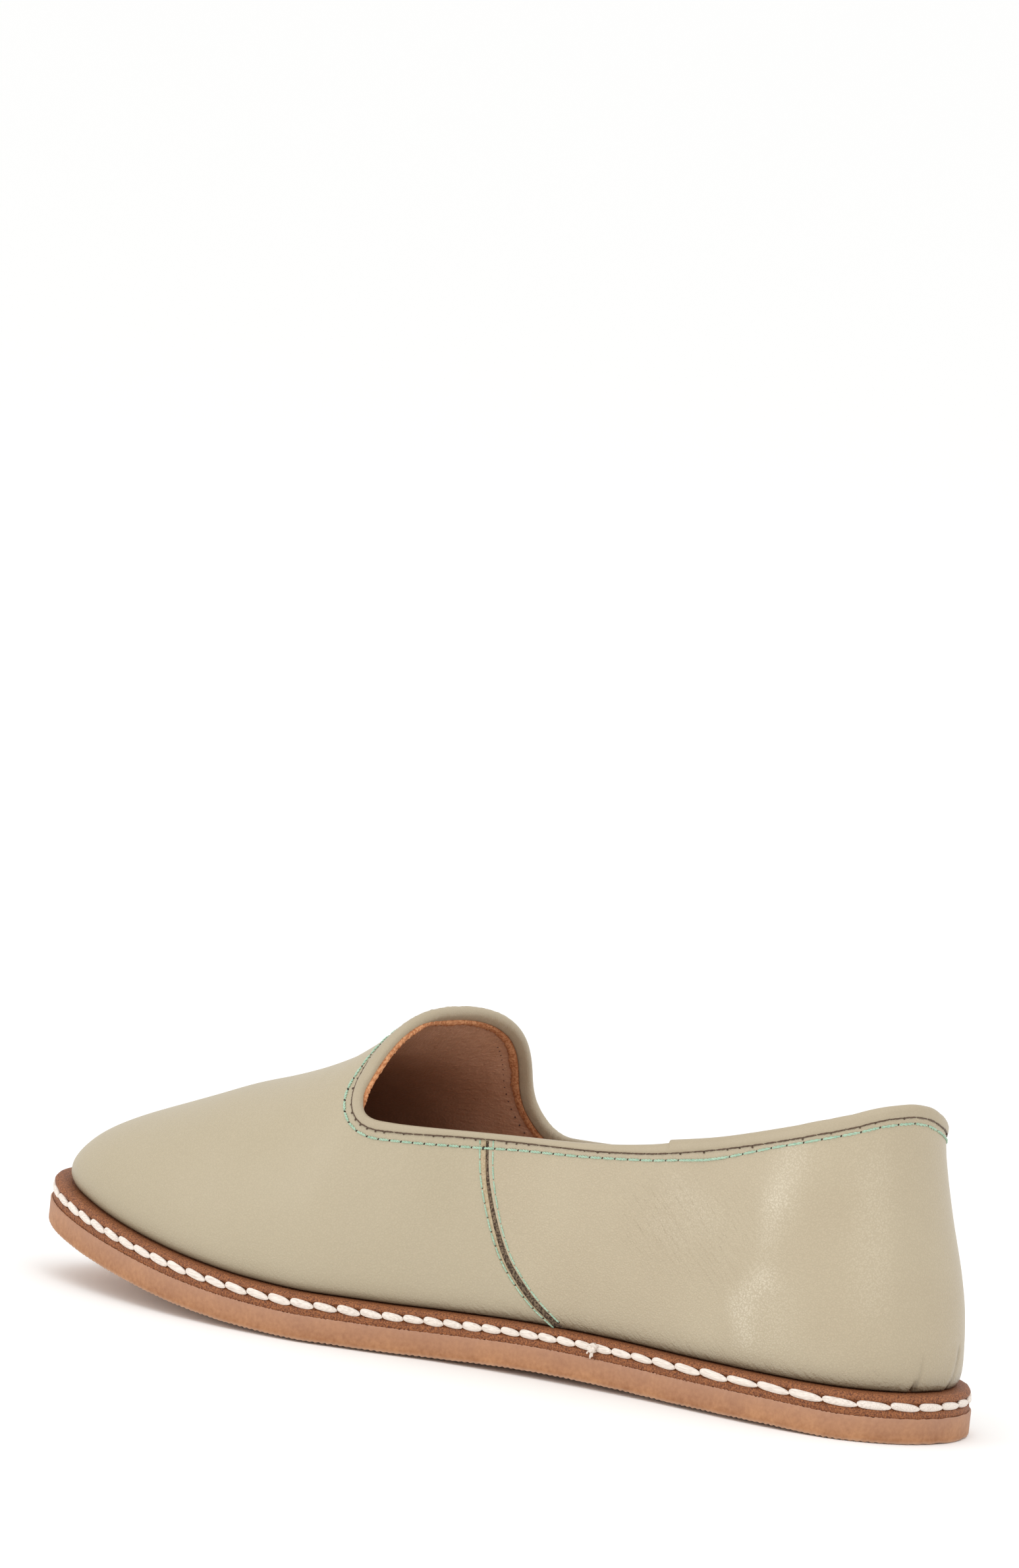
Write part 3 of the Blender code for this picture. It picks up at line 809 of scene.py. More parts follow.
@dataclass
class Shop:
    """Turns arrays of points and faces into named pieces that ride with the shoe."""

    place: ShoeFrame
    weld_reach: float = 0.002
    bevel_angle: float = 55.0
    smooth_angle: float = 50.0

    def piece(
        self,
        name: str,
        points: Array,
        faces: Faces,
        finishes: tuple[Finish, ...],
        heights: Array | None = None,
        choice: Array | None = None,
    ) -> Piece:
        """Makes a mesh object at the origin, its place in its mesh.

        Args:
            name: Name of the piece.
            points: Points in shoe millimetres.
            faces: Faces with outward order.
            finishes: Finishes of the material slots.
            heights: Second UV value of each point, if the finish follows it.
            choice: Material slot of each face.

        Returns:
            The new object.
        """
        mesh = bpy.data.meshes.new(name)
        mesh.from_pydata(self.place.metres(points).tolist(), [], faces)
        for finish in finishes:
            mesh.materials.append(finish.material())
        if choice is not None:
            mesh.polygons.foreach_set("material_index", np.asarray(choice, np.int32))
        if heights is not None:
            corners = np.empty(len(mesh.loops), np.int32)
            mesh.loops.foreach_get("vertex_index", corners)
            flat = np.stack([np.zeros(len(corners)), np.asarray(heights)[corners]], axis=1)
            mesh.uv_layers.new(name="UVMap").data.foreach_set("uv", flat.ravel())
        mesh.shade_smooth()
        made = bpy.data.objects.new(name, mesh)
        bpy.context.scene.collection.objects.link(made)
        return made

    def join(self, name: str, sheet: Sheet, *finishes: Finish) -> Piece:
        """Makes one piece of a sheet's grids and merges the points where they meet.

        Args:
            name: Name of the piece.
            sheet: The grids.
            *finishes: Finishes of the material slots.

        Returns:
            The new object.
        """
        choice = np.array(sheet.choice)
        made = self.piece(name, sheet.all_points(), sheet.faces, finishes, choice=choice)
        self.weld(made)
        return made

    def points_of(self, piece: Piece) -> Array:
        """Points of a piece in shoe millimetres."""
        flat = np.empty(len(piece.data.vertices) * 3)
        piece.data.vertices.foreach_get("co", flat)
        return self.place.millimetres(flat.reshape(-1, 3))

    def activate(self, piece: Piece) -> None:
        """Selects one object alone, for an operator."""
        bpy.ops.object.select_all(action="DESELECT")
        piece.select_set(True)
        bpy.context.view_layer.objects.active = piece

    def weld(self, piece: Piece) -> None:
        """Merges points that lie on each other."""
        work = bmesh.new()
        work.from_mesh(piece.data)
        bmesh.ops.remove_doubles(work, verts=work.verts, dist=self.weld_reach * MM)
        work.to_mesh(piece.data)
        work.free()

    def thicken(self, piece: Piece, thickness: float, round_edge: float) -> None:
        """Gives an open sheet its thickness inwards and rounds its cut edges.

        Args:
            piece: The sheet.
            thickness: Thickness of the leather.
            round_edge: Width of the rounding.
        """
        self.activate(piece)
        wall = piece.modifiers.new("thickness", "SOLIDIFY")
        wall.thickness = thickness * MM
        wall.offset = -1.0
        bevel = piece.modifiers.new("edge", "BEVEL")
        bevel.width = round_edge * MM
        bevel.segments = 2
        bevel.limit_method = "ANGLE"
        bevel.angle_limit = math.radians(self.bevel_angle)
        for name in ("thickness", "edge"):
            bpy.ops.object.modifier_apply(modifier=name)
        bpy.ops.object.shade_smooth_by_angle(angle=math.radians(self.smooth_angle))

    def finish(self, piece: Piece, node: str | None, slot: Slot | None) -> None:
        """Puts a piece on the shoe's body and reports it.

        Args:
            piece: The finished object.
            node: The solid that it stands for.
            slot: The record's slot of the piece; not used.
        """
        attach(piece, BODY)
        if node:
            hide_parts(node)
        LOG.info("%s: %d faces", piece.name, len(piece.data.polygons))


@dataclass
class Topline:
    """Closed line of the upper's edge: medial corner of the throat, heel, lateral corner, throat."""

    last: Last
    spacing: float = 0.5
    samples: int = 500
    lining_depth: float = 1.7
    notch_reach: float = 24.0
    arch_samples: int = 200
    crown_gap: float = 0.003
    soften: float = 8.0

    def __post_init__(self) -> None:
        """Samples the line evenly and works out its directions from the last's surface."""
        last = self.last
        spread = np.linspace(0.0, 1.0, self.samples // 2) ** 2
        notch = last.throat - self.notch_reach * spread
        rest = last.station_of(np.linspace(last.angle_of(notch[-1]), 0.0, self.samples)[1:])
        station = np.concatenate([notch, rest])
        wall = {}
        arch = {}
        for side in Side:
            angle = last.wall_angle(station, side, np.ones(len(station)), 0.0)
            over = np.linspace(angle[0], np.pi / 2 - self.crown_gap, self.arch_samples)
            wall[side] = self.sections(station, side, angle)
            arch[side] = self.sections(np.full(len(over), last.throat), side, over)
        parts = (
            wall[Side.MEDIAL],
            wall[Side.LATERAL][-2::-1],
            arch[Side.LATERAL][1:],
            arch[Side.MEDIAL][-2:0:-1],
        )
        loop = np.concatenate(parts)
        closed = np.concatenate([loop, loop[:1]])
        reach = distance_along(closed[:, :3])
        self.total = float(reach[-1])
        count = int(round(self.total / self.spacing))
        self.arc = np.arange(count) * self.total / count
        sampled = np.stack([np.interp(self.arc, reach, column) for column in closed.T], axis=1)
        self.outer = sampled[:, :3]
        self.run = unit(np.roll(self.outer, -1, axis=0) - np.roll(self.outer, 1, axis=0))
        normal = sampled[:, 3:6]
        self.across = unit(normal - self.run * np.sum(normal * self.run, axis=1, keepdims=True))
        self.away = np.cross(self.across, self.run)
        self.middle = self.outer - self.across * last.wall / 2
        self.lining = np.sum((sampled[:, 6:] - self.middle) * self.across, axis=1)
        heel = reach[len(station) - 1]
        corner = reach[2 * len(station) - 2]
        self.medial = self.arc < heel
        self.arch = self.arc > corner
        self.lateral_corner = self.arc[self.arch][0]
        self.throat_part = (self.total - self.arc) / (self.total - self.lateral_corner)

    def sections(self, station: Array, side: Side, angle: Array) -> Array:
        """Points of the line, with their outward directions and the lining's points behind them."""
        parts = (
            self.last.point(station, side, angle),
            self.last.outward(station, side, angle),
            self.last.point(station, side, angle, self.lining_depth),
        )
        return np.concatenate(parts, axis=1)

    def along(self, values: Array, arc: Array) -> Array:
        """Values of the line at given places.

        Args:
            values: One value or vector for each sample.
            arc: Places along the line, which may pass its end.

        Returns:
            The values there.
        """
        if values.ndim == 1:
            return np.interp(arc, self.arc, values, period=self.total)
        return np.stack([np.interp(arc, self.arc, v, period=self.total) for v in values.T], axis=-1)

    def place(self, arc: Array, rise: Array, shift: Array) -> Array:
        """Points beside the line.

        Args:
            arc: Places along the line.
            rise: Distance beyond the upper's edge, in its own surface.
            shift: Distance outwards from the middle of the wall.

        Returns:
            Points in shoe millimetres.
        """
        middle = self.along(self.middle, arc)
        away = self.along(self.away, arc) * np.asarray(rise)[..., None]
        return middle + away + self.along(self.across, arc) * np.asarray(shift)[..., None]

    def by_station(self, rows: Rows, column: int, elsewhere: float) -> Array:
        """Values from a table of medial stations, softened where they join the rest of the line.

        Args:
            rows: Table with stations in its first column.
            column: Column to read.
            elsewhere: Value off the medial side.

        Returns:
            One value for each sample.
        """
        values = np.where(self.medial, curve(rows, column, self.outer[:, 1]), elsewhere)
        width = int(self.soften / self.spacing)
        kernel = np.hanning(width + 2)[1:-1]
        padded = np.concatenate([values[-width:], values, values[:width]])
        return np.convolve(padded, kernel / kernel.sum(), mode="same")[width:-width]


@dataclass(frozen=True)
class Fold:
    """A listed crease: a soft trough, or a ridge where the depth is negative."""

    start: Triple
    end: Triple
    width: float
    depth: float
    fades: bool = True

    def height(self, points: Array) -> Array:
        """Height that the fold adds at each point.

        Args:
            points: Points in shoe millimetres.

        Returns:
            Height along the surface normal.
        """
        start = np.array(self.start)
        line = np.array(self.end) - start
        share = np.clip((points - start) @ line / (line @ line), 0.0, 1.0)
        gap = np.linalg.norm(points - start - share[:, None] * line, axis=1)
        fade = np.sqrt(1 - share**2) if self.fades else 1.0
        return -self.depth * fade * np.exp(-((gap / self.width) ** 2))


@dataclass(frozen=True)
class Patch:
    """A soft-edged place on the leather, drawn along a short line."""

    start: Triple
    end: Triple
    radius: float
    amount: float

    def share(self, points: Array) -> Array:
        """Amount that the patch adds at each point."""
        return Fold(self.start, self.end, self.radius, -self.amount, False).height(points)


# thin creases and swells at the heel's foot
PLEATS = (
    Fold((-12.2, 7.0, 11.4), (-11.4, 6.4, 15.8), 0.42, 0.75),
    Fold((-11.1, 6.3, 12.8), (-10.2, 5.65, 20.5), 0.42, 0.4),
    Fold((-13.6, 8.0, 11.8), (-12.4, 7.2, 19.0), 1.3, -0.3),
    Fold((0.6, 4.3, 12.6), (5.2, 4.1, 22.5), 0.8, 0.7),
    Fold((-1.4, 4.3, 13.0), (3.0, 4.0, 22.0), 1.5, -0.4),
)
# soft swells and hollows of the medial quarter
SWELLS = (
    Fold((-26.3, 44.0, 33.0), (-26.2, 46.0, 22.0), 6.0, -0.7, False),
    Fold((-24.6, 40.0, 60.0), (-26.0, 42.4, 44.0), 5.5, -0.6, False),
    Fold((-25.4, 52.0, 50.0), (-26.2, 56.0, 24.0), 6.5, 0.55, False),
    Fold((-23.9, 25.5, 50.0), (-25.1, 24.0, 24.0), 6.0, 0.6, False),
    Fold((-17.5, 13.5, 20.0), (-16.0, 15.5, 60.0), 5.0, -0.4, False),
)
# where the quarter is glossier, and where a painted highlight lightens its pebbles
PATCHES = (
    Patch((-24.0, 39.2, 65.0), (-25.3, 41.5, 54.0), 4.6, 0.7),
    Patch((-25.3, 41.5, 54.0), (-26.0, 42.6, 44.0), 3.4, 0.5),
    Patch((-26.4, 42.0, 35.0), (-26.5, 48.0, 27.5), 3.4, 0.85),
    Patch((-26.5, 48.0, 27.5), (-26.1, 45.5, 20.0), 3.2, 0.8),
    Patch((-26.2, 40.0, 31.0), (-26.0, 39.0, 23.0), 6.0, 0.3),
    Patch((-16.8, 20.5, 64.0), (-20.5, 16.5, 34.0), 5.0, 0.3),
    Patch((-24.3, 74.0, 43.0), (-24.3, 68.0, 41.0), 4.0, 0.25),
    Patch((-23.8, 70.0, 51.0), (-24.6, 60.5, 47.0), 4.5, 0.4),
)
# where the quarter is drawn into fine slanting wrinkles
PULLS = (
    Patch((-23.6, 78.0, 50.0), (-24.6, 58.0, 47.0), 7.0, 0.7),
    Patch((-24.1, 78.0, 40.0), (-25.0, 58.0, 36.0), 7.0, 0.6),
    Patch((-25.0, 46.0, 48.0), (-25.8, 40.0, 30.0), 9.0, 0.35),
)


@dataclass
class Upper:
    """Vamp and quarter, joined on each side over a dark strip, with the lining inside."""

    last: Last
    shop: Shop
    leather: float = 1.1
    edge_rise: float = 2.6
    wall_columns: int = 30
    wall_power: float = 1.6
    arch_columns: int = 24
    vamp_rows: int = 110
    tip_rows: int = 3
    vamp_edge: float = 0.15
    front_rows: int = 64
    front_power: float = 1.8
    rear_rows: int = 210
    quarter_edge: float = 0.2
    lip: float = 0.9
    lip_start: float = 1.25
    lip_fall: float = 0.06
    lip_depth: float = 0.5
    foot_height: float = 2.2
    foot_tuck: float = 0.5
    calm_edge: float = 5.0
    calm_reach: float = 8.0
    rear_start: float = 130.0
    rear_reach: float = 50.0
    # painted shade: the most that a crease is darkened
    crease_shade: float = 0.6
    pull_height: float = 8.0
    pull_power: float = 1.5
    pull_end: float = 150.0
    pull_fade: float = 40.0
    pull_least: float = 0.2
    tape_half: float = 1.6
    tape_columns: int = 7
    tape_depth: float = 0.72
    tape_crown: float = 0.12
    tape_thickness: float = 0.35
    tape_edge: float = 0.05
    lining_rise: float = 1.4
    lining_depth: float = 1.2
    lining_thickness: float = 0.5
    lining_edge: float = 0.1
    lining_notch: float = 30.0
    lining_notch_rows: int = 40
    lining_rows: int = 90
    lining_pull: float = 0.8
    shadow: float = 0.75
    shadow_start: float = 128.0
    shadow_reach: float = 60.0
    seam_range: Pair = (80.0, 140.0)
    seam_samples: int = 240
    # painted shade along the feather edge and its haze: amount, what the rear adds, reach, what the rear
    # adds
    painted_shade: Rows = ((0.75, 0.0, 0.9, 0.4), (0.14, 0.08, 5.0, 0.0))
    # height, station of the side seam, half width of its gap
    seam: Rows = (
        (10.0, 95.0, 0.7), (13.0, 98.4, 0.7), (17.8, 104.9, 0.68), (22.0, 109.3, 0.66),
        (27.2, 113.5, 0.62), (33.4, 116.7, 0.55), (40.4, 119.4, 0.45), (47.9, 121.6, 0.36),
        (58.0, 123.2, 0.34),
    )
    shares: Array = field(init=False)

    def __post_init__(self) -> None:
        """Spaces the wall's columns closely near the feather edge."""
        self.shares = np.linspace(0.0, 1.0, self.wall_columns + 1) ** self.wall_power

    def wall(self, side: Side, station: Array, rise: float, depth: Array | float = 0.0) -> Array:
        """Points of a wall strip by row and column, with its edge raised, at a depth inside the face."""
        angle = self.last.wall_angle(station, side, self.shares[None, :], rise)
        return self.last.point(station, side, angle, depth)

    def seam_line(self, side: Side) -> tuple[Array, Array]:
        """Station of the seam at each column of the wall, and half its gap along the station.

        Args:
            side: Side of the shoe.

        Returns:
            Stations and half gaps.
        """
        tried = np.linspace(*self.seam_range, self.seam_samples)
        points = self.wall(side, np.repeat(tried[:, None], len(self.shares), axis=1), self.edge_rise)
        ahead = points[..., 1] - curve(self.seam, 1, points[..., 2])
        station = np.array([np.interp(0.0, ahead[:, j], tried) for j in range(len(self.shares))])
        height = np.array([np.interp(station[j], tried, points[:, j, 2]) for j in range(len(self.shares))])
        step = 0.5
        lower, higher = (curve(self.seam, 1, height + way * step) for way in (-1, 1))
        slope = (higher - lower) / (2 * step)
        return station, curve(self.seam, 2, height) * np.sqrt(1 + slope**2)

    def front_strip(self, side: Side) -> tuple[Array, Array]:
        """Wall between throat and seam, with the vamp's bevelled lip along the seam.

        Args:
            side: Side of the shoe.

        Returns:
            Points by row and column, and the material slot of each row of faces.
        """
        seam, gap = self.seam_line(side)
        throat = self.last.throat - self.edge_rise
        spread = np.linspace(0.0, 1.0, self.front_rows) ** self.front_power
        inner_edge = seam + gap + self.lip * self.lip_start
        station = throat + (inner_edge[None, :] - throat) * spread[:, None]
        lip = np.stack([seam + gap + self.lip, seam + gap])
        depth = np.concatenate([np.zeros(self.front_rows), [self.lip_fall, self.lip_depth]])
        station = np.concatenate([station, lip])
        slots = np.zeros(len(station) - 1, int)
        slots[-1] = 1
        return self.wall(side, station, self.edge_rise, depth[:, None]), slots

    def rear_strip(self, side: Side) -> Array:
        """Wall between seam and heel.

        Args:
            side: Side of the shoe.

        Returns:
            Points by row and column.
        """
        seam, gap = self.seam_line(side)
        start = self.last.angle_of(seam - gap)
        share = np.linspace(1.0, 0.0, self.rear_rows)
        points = self.wall(side, self.last.station_of(start[None, :] * share[:, None]), self.edge_rise)
        points[-1, :, 0] = 0.0
        return points

    def arch(self, rise: float, depth: float = 0.0) -> Array:
        """Vamp from throat to toe.

        Args:
            rise: Distance of the throat's edge beyond the solid's.
            depth: Distance inside the outer face.

        Returns:
            Points by row and column, from the medial to the lateral feather edge.
        """
        throat = self.last.throat - rise
        bend = np.linspace(self.last.angle_of(throat), np.pi, self.vamp_rows + 1)[: -self.tip_rows]
        station = self.last.station_of(bend)[:, None]
        halves = []
        for side in Side:
            wall = self.last.wall_angle(np.full(len(self.shares), throat), side, self.shares, rise)
            over = np.linspace(wall[-1], np.pi / 2, self.arch_columns + 1)[1:]
            halves.append(self.last.point(station, side, np.concatenate([wall, over])[None, :], depth))
        crown = (halves[0][:, -1:] + halves[1][:, -1:]) / 2
        return np.concatenate([halves[0][:, :-1], crown, halves[1][:, -2::-1]], axis=1)

    def cover(self, sheet: Sheet, rise: float, depth: float = 0.0) -> None:
        """Adds the vamp and closes the toe's tip across its last row.

        Args:
            sheet: The sheet to add to.
            rise: Distance of the throat's edge beyond the solid's.
            depth: Distance inside the outer face.
        """
        rows = self.arch(rise, depth)
        half = rows.shape[1] // 2 + 1
        sheet.grid(rows)
        sheet.grid(np.stack([rows[-1, :half], rows[-1, ::-1][:half]], axis=1), flip=True)

    def relief(self, piece: Piece) -> None:
        """Presses the folds into a sheet, tucks its foot in and marks its painted shade along the feather
        edge and in creases, its glossy places with their painted highlight, and where it is strained.

        Args:
            piece: The sheet, before it gets its thickness.
        """
        mesh = piece.data
        points = self.shop.points_of(piece)
        normals = np.empty(len(mesh.vertices) * 3)
        mesh.vertex_normals.foreach_get("vector", normals)
        above = points[:, 2] - self.last.lift(points[:, 1]) - self.last.seat
        near = np.clip(1 - above / self.foot_height, 0.0, 1.0)
        medial, lateral = (curve(self.last.topline, k, points[:, 1]) for k in (1, 2))
        below = np.where(points[:, 0] < 0, medial, lateral) - points[:, 2]
        calm = np.clip((below - self.calm_edge) / self.calm_reach, 0.0, 1.0)
        pleats = sum(fold.height(points) for fold in PLEATS)
        swells = sum(fold.height(points) for fold in SWELLS)
        height = pleats + swells * calm - self.foot_tuck * near**2
        moved = points + normals.reshape(-1, 3) * height[:, None]
        mesh.vertices.foreach_set("co", self.shop.place.metres(moved).ravel())
        above = np.clip(above, 0.0, None)
        # painted shade along the feather edge, where the upper tucks in, with a wider haze towards the heel
        rear = np.clip((self.rear_start - points[:, 1]) / self.rear_reach, 0.0, 1.0)
        shade_paint = sum(
            (amount + more * rear) * np.exp(-above / (reach + wider * rear))
            for amount, more, reach, wider in self.painted_shade
        )
        pull = np.clip(1 - above / self.pull_height, 0.0, 1.0) ** self.pull_power
        pull = pull * np.clip((self.pull_end - points[:, 1]) / self.pull_fade, self.pull_least, 1.0)
        # painted shade also darkens the creases
        self.mark(mesh, "painted_shade", shade_paint + np.clip(-pleats, 0.0, self.crease_shade))
        # glossy patches, which also lighten the pebbles with a painted highlight
        self.mark(mesh, "gloss_and_highlight", sum(patch.share(points) for patch in PATCHES))
        self.mark(mesh, "pull", pull + sum(patch.share(points) for patch in PULLS))
        mesh.update()

    def mark(self, mesh: bpy.types.Mesh, name: str, values: Array) -> None:
        """Stores a share for each point, for the finish to read."""
        mesh.attributes.new(name, "FLOAT", "POINT").data.foreach_set("value", np.clip(values, 0.0, 1.0))

    def build_vamp(self) -> None:
        """Makes the vamp: toe, throat and the two wings back to the seams."""
        sheet = Sheet()
        self.cover(sheet, self.edge_rise)
        for side in Side:
            points, slots = self.front_strip(side)
            sheet.grid(points, flip=side is Side.MEDIAL, choice=slots)
        vamp = self.shop.join("vamp", sheet, UPPER_LEATHER, CUT_LEATHER)
        self.relief(vamp)
        self.shop.thicken(vamp, self.leather, self.vamp_edge)
        self.shop.finish(vamp, "upper", Slot.UPPER)

    def build_quarter(self) -> None:
        """Makes the quarter, one piece round the heel."""
        sheet = Sheet()
        for side in Side:
            sheet.grid(self.rear_strip(side), flip=side is Side.MEDIAL)
        quarter = self.shop.join("quarter", sheet, QUARTER_LEATHER)
        self.relief(quarter)
        self.shop.thicken(quarter, self.leather, self.quarter_edge)
        self.shop.finish(quarter, "upper", Slot.UPPER)

    def build_seam_tapes(self) -> None:
        """Makes the dark strip that shows in each side seam."""
        for side in Side:
            seam, gap = self.seam_line(side)
            offsets = np.linspace(self.tape_half, -self.tape_half, self.tape_columns)
            station = np.stack([seam + gap * offset for offset in offsets])
            crown = self.tape_depth - self.tape_crown * np.cos(offsets * np.pi / (2 * self.tape_half))
            sheet = Sheet()
            sheet.grid(self.wall(side, station, self.edge_rise, crown[:, None]), flip=side is Side.MEDIAL)
            name = f"seam_tape_{side.name.lower()}"
            tape = self.shop.piece(name, sheet.all_points(), sheet.faces, (SEAM_LEATHER,))
            self.shop.thicken(tape, self.tape_thickness, self.tape_edge)
            self.shop.finish(tape, None, Slot.UPPER)

    def build_lining(self) -> None:
        """Makes the brown lining inside vamp and quarter."""
        rise = self.lining_rise
        throat = self.last.throat - rise
        spread = np.linspace(0.0, 1.0, self.lining_notch_rows) ** self.front_power
        notch = throat - self.lining_notch * spread
        bend = np.linspace(self.last.angle_of(notch[-1]), 0.0, self.lining_rows)[1:]
        station = np.concatenate([notch, self.last.station_of(bend)])
        station = np.repeat(station[:, None], len(self.shares), axis=1)
        sheet = Sheet()
        self.cover(sheet, rise, self.lining_depth)
        for side in Side:
            points = self.wall(side, station, rise, self.lining_depth)
            points[-1, :, 0] = 0.0
            sheet.grid(points, flip=side is Side.MEDIAL)
        lining = self.shop.join("lining", sheet, LINING_LEATHER)
        # painted shade that darkens the lining deep towards the toe, where little light reaches
        inside = self.shop.points_of(lining)[:, 1] - self.shadow_start
        deep = np.clip(inside / self.shadow_reach, 0.0, 1.0)
        self.mark(lining.data, "painted_shade", self.shadow * deep * deep * (3 - 2 * deep))
        self.mark(lining.data, "pull", self.lining_pull * (1 - deep))
        self.shop.thicken(lining, self.lining_thickness, self.lining_edge)
        self.shop.finish(lining, "upper", Slot.INSOLE)

    def build(self) -> None:
        """Makes all leather of the upper."""
        self.build_vamp()
        self.build_quarter()
        self.build_seam_tapes()
        self.build_lining()


@dataclass
class Binding:
    """Strip sewn over the upper's edge, its ends overlapping on the medial side, with its raw edge."""

    line: Topline
    shop: Shop
    half: float = 1.4
    crest: float = 4.3
    inner_foot: float = 0.9
    tuck: float = 0.25
    tuck_half: float = 0.62
    overlap_station: float = 73.3
    overlap_height: float = 0.75
    overlap_fade: float = 16.0
    overlap_bulge: float = 0.3
    width_elsewhere: float = 2.9
    mint_elsewhere: float = 4.5
    crush_gain: float = 2.0
    medial_crush: float = 0.2
    wrinkle_least: float = 0.015
    wrinkle_most: float = 0.1
    wrinkle: Wave = Wave(1.0, 1.7, 11)
    sway: Wave = Wave(0.05, 9.0, 5)
    fray: tuple[Wave, Wave] = (Wave(0.16, 2.4, 21), Wave(0.2, 11.0, 22))
    roughness: Wave = Wave(0.06, 1.5, 23)
    shoulder: float = 1.3
    climb_squeeze: float = 0.5
    climb_fray: float = 0.3
    climb_swell: float = 1.1
    crown_swell: float = 2.6
    crown_share: float = 0.5
    crown_width: float = 0.17
    # medial station, drop of the top, then distances of the strip's foot and the mint row from the crest
    rows: Rows = (
        (0.0, 0.0, 2.8, 4.5), (14.0, 0.0, 2.8, 4.5), (31.0, 0.0, 3.2, 4.6), (43.0, 0.0, 3.1, 4.4),
        (63.0, 0.0, 2.7, 5.0), (73.0, 0.1, 2.6, 4.4), (90.0, 0.45, 2.3, 3.9), (112.0, 0.7, 2.2, 4.1),
        (130.0, 0.75, 2.3, 4.7), (145.0, 0.5, 2.6, 4.8), (150.0, 0.2, 2.6, 4.8),
    )
    # outer side: share of the way up from its foot, share of the half width, share of the wrinkles
    outer_side: Rows = (
        (0.0, 0.8, 0.0), (0.08, 0.96, 1.0), (0.25, 1.0, 1.0), (0.55, 1.0, 1.0), (0.74, 0.88, 1.0),
        (0.9, 0.62, 0.7), (0.98, 0.3, 0.0), (1.0, 0.0, 0.0),
    )
    # inner side: share of the way down from the top, then as above
    inner_side: Rows = ((0.02, 0.3, 0.0), (0.09, 0.62, 0.7), (0.22, 0.88, 1.0), (0.38, 1.0, 1.0))
    # lower end of the inner side: distance above its foot, then as above
    inner_end: Rows = ((0.5, 1.0, 1.0), (0.1, 0.9, 0.0), (0.2, 0.55, 0.0))
    # raw edge: distance up the strip's side, share of the fray, distance out of it, share of the roughness
    raw_edge: Rows = (
        (-1.0, 1.0, -0.15, 0.0), (-1.15, 1.0, 0.15, 0.0), (-0.9, 1.0, 0.38, 1.0), (0.35, 0.0, 0.44, 1.0),
        (0.8, 0.0, 0.33, 1.0), (1.3, 0.0, 0.2, 0.0), (1.3, 0.0, -0.15, 0.0),
    )
    # share of the throat from its medial corner, climb of the raw edge, its turn round the shoulder
    turned: Rows = (
        (0.0, 1.0, 42.0), (0.1, 1.0, 28.0), (0.18, 1.0, 15.0), (0.28, 1.0, 0.0), (0.46, 0.0, 0.0),
        (1.0, 0.0, 0.0),
    )
    # the same by distance from the corner along the medial wall
    corner: Rows = ((0.0, 1.0, 42.0), (4.0, 1.0, 52.0), (9.0, 1.0, 0.0), (16.0, 0.0, 0.0))

    def top(self) -> Array:
        """Rise of the strip's top at each sample, without the overlap."""
        return self.crest - self.line.by_station(self.rows, 1, 0.0)

    def foot(self) -> Array:
        """Rise of the strip's outer foot at each sample."""
        return self.crest - self.line.by_station(self.rows, 2, self.width_elsewhere)

    def mint(self) -> Array:
        """Rise of the mint row at each sample."""
        return self.crest - self.line.by_station(self.rows, 3, self.mint_elsewhere)

    def overlap(self) -> Array:
        """Extra height where one end lies over the other."""
        behind = self.overlap_station - self.line.outer[:, 1]
        fading = np.exp(-np.clip(behind, 0.0, None) / self.overlap_fade)
        return np.where(self.line.medial & (behind > 0), self.overlap_height * fading, 0.0)

    def build_strip(self) -> None:
        """Makes the rounded strip, with fine wrinkles where it turns the corners."""
        line = self.line
        extra = self.overlap()
        foot = self.foot()
        turn = np.abs(np.gradient(line.run[:, 2]) / line.spacing)
        crush = np.clip(turn / turn.max() * self.crush_gain, 0.0, 1.0)
        crush = np.where(line.medial, self.medial_crush, 1.0) * crush
        strength = self.wrinkle_least + self.wrinkle_most * crush
        wrinkle = strength * self.wrinkle.at(line.arc) + self.sway.at(line.arc)
        half = self.half + self.overlap_bulge * extra
        top = self.top() + extra
        tall = top - foot
        deep = top - self.inner_foot
        end = np.full(len(top), self.inner_foot)
        profile = [(foot - self.tuck, self.tuck_half * half)]
        for base, height, side, rows in (
            (foot, tall, 1.0, self.outer_side),
            (top, -deep, -1.0, self.inner_side),
            (end, 1.0, -1.0, self.inner_end),
        ):
            for up, out, creased in rows:
                profile.append((base + up * height, side * (out * half + creased * wrinkle)))
        rings = [line.place(line.arc, rise, shift) for rise, shift in profile]
        rings.append(rings[0])
        sheet = Sheet()
        sheet.grid(np.stack(rings, axis=1), closed=True, flip=True)
        strip = self.shop.join("topline_binding_strip", sheet, BINDING_LEATHER)
        self.shop.finish(strip, "topline_binding", Slot.BINDING)

    def turned_out(self) -> tuple[Array, Array]:
        """How far the raw edge climbs the strip's inner side and turns round its shoulder.

        Returns:
            Climb from zero to one, and turn in radians, at each sample.
        """
        line = self.line
        climb, turn = (np.where(line.arch, curve(self.turned, k, line.throat_part), 0.0) for k in (1, 2))
        corner = line.arc < self.corner[-1][0]
        climb = np.where(corner, curve(self.corner, 1, line.arc), climb)
        turn = np.where(corner, curve(self.corner, 2, line.arc), turn)
        return climb, np.radians(turn)

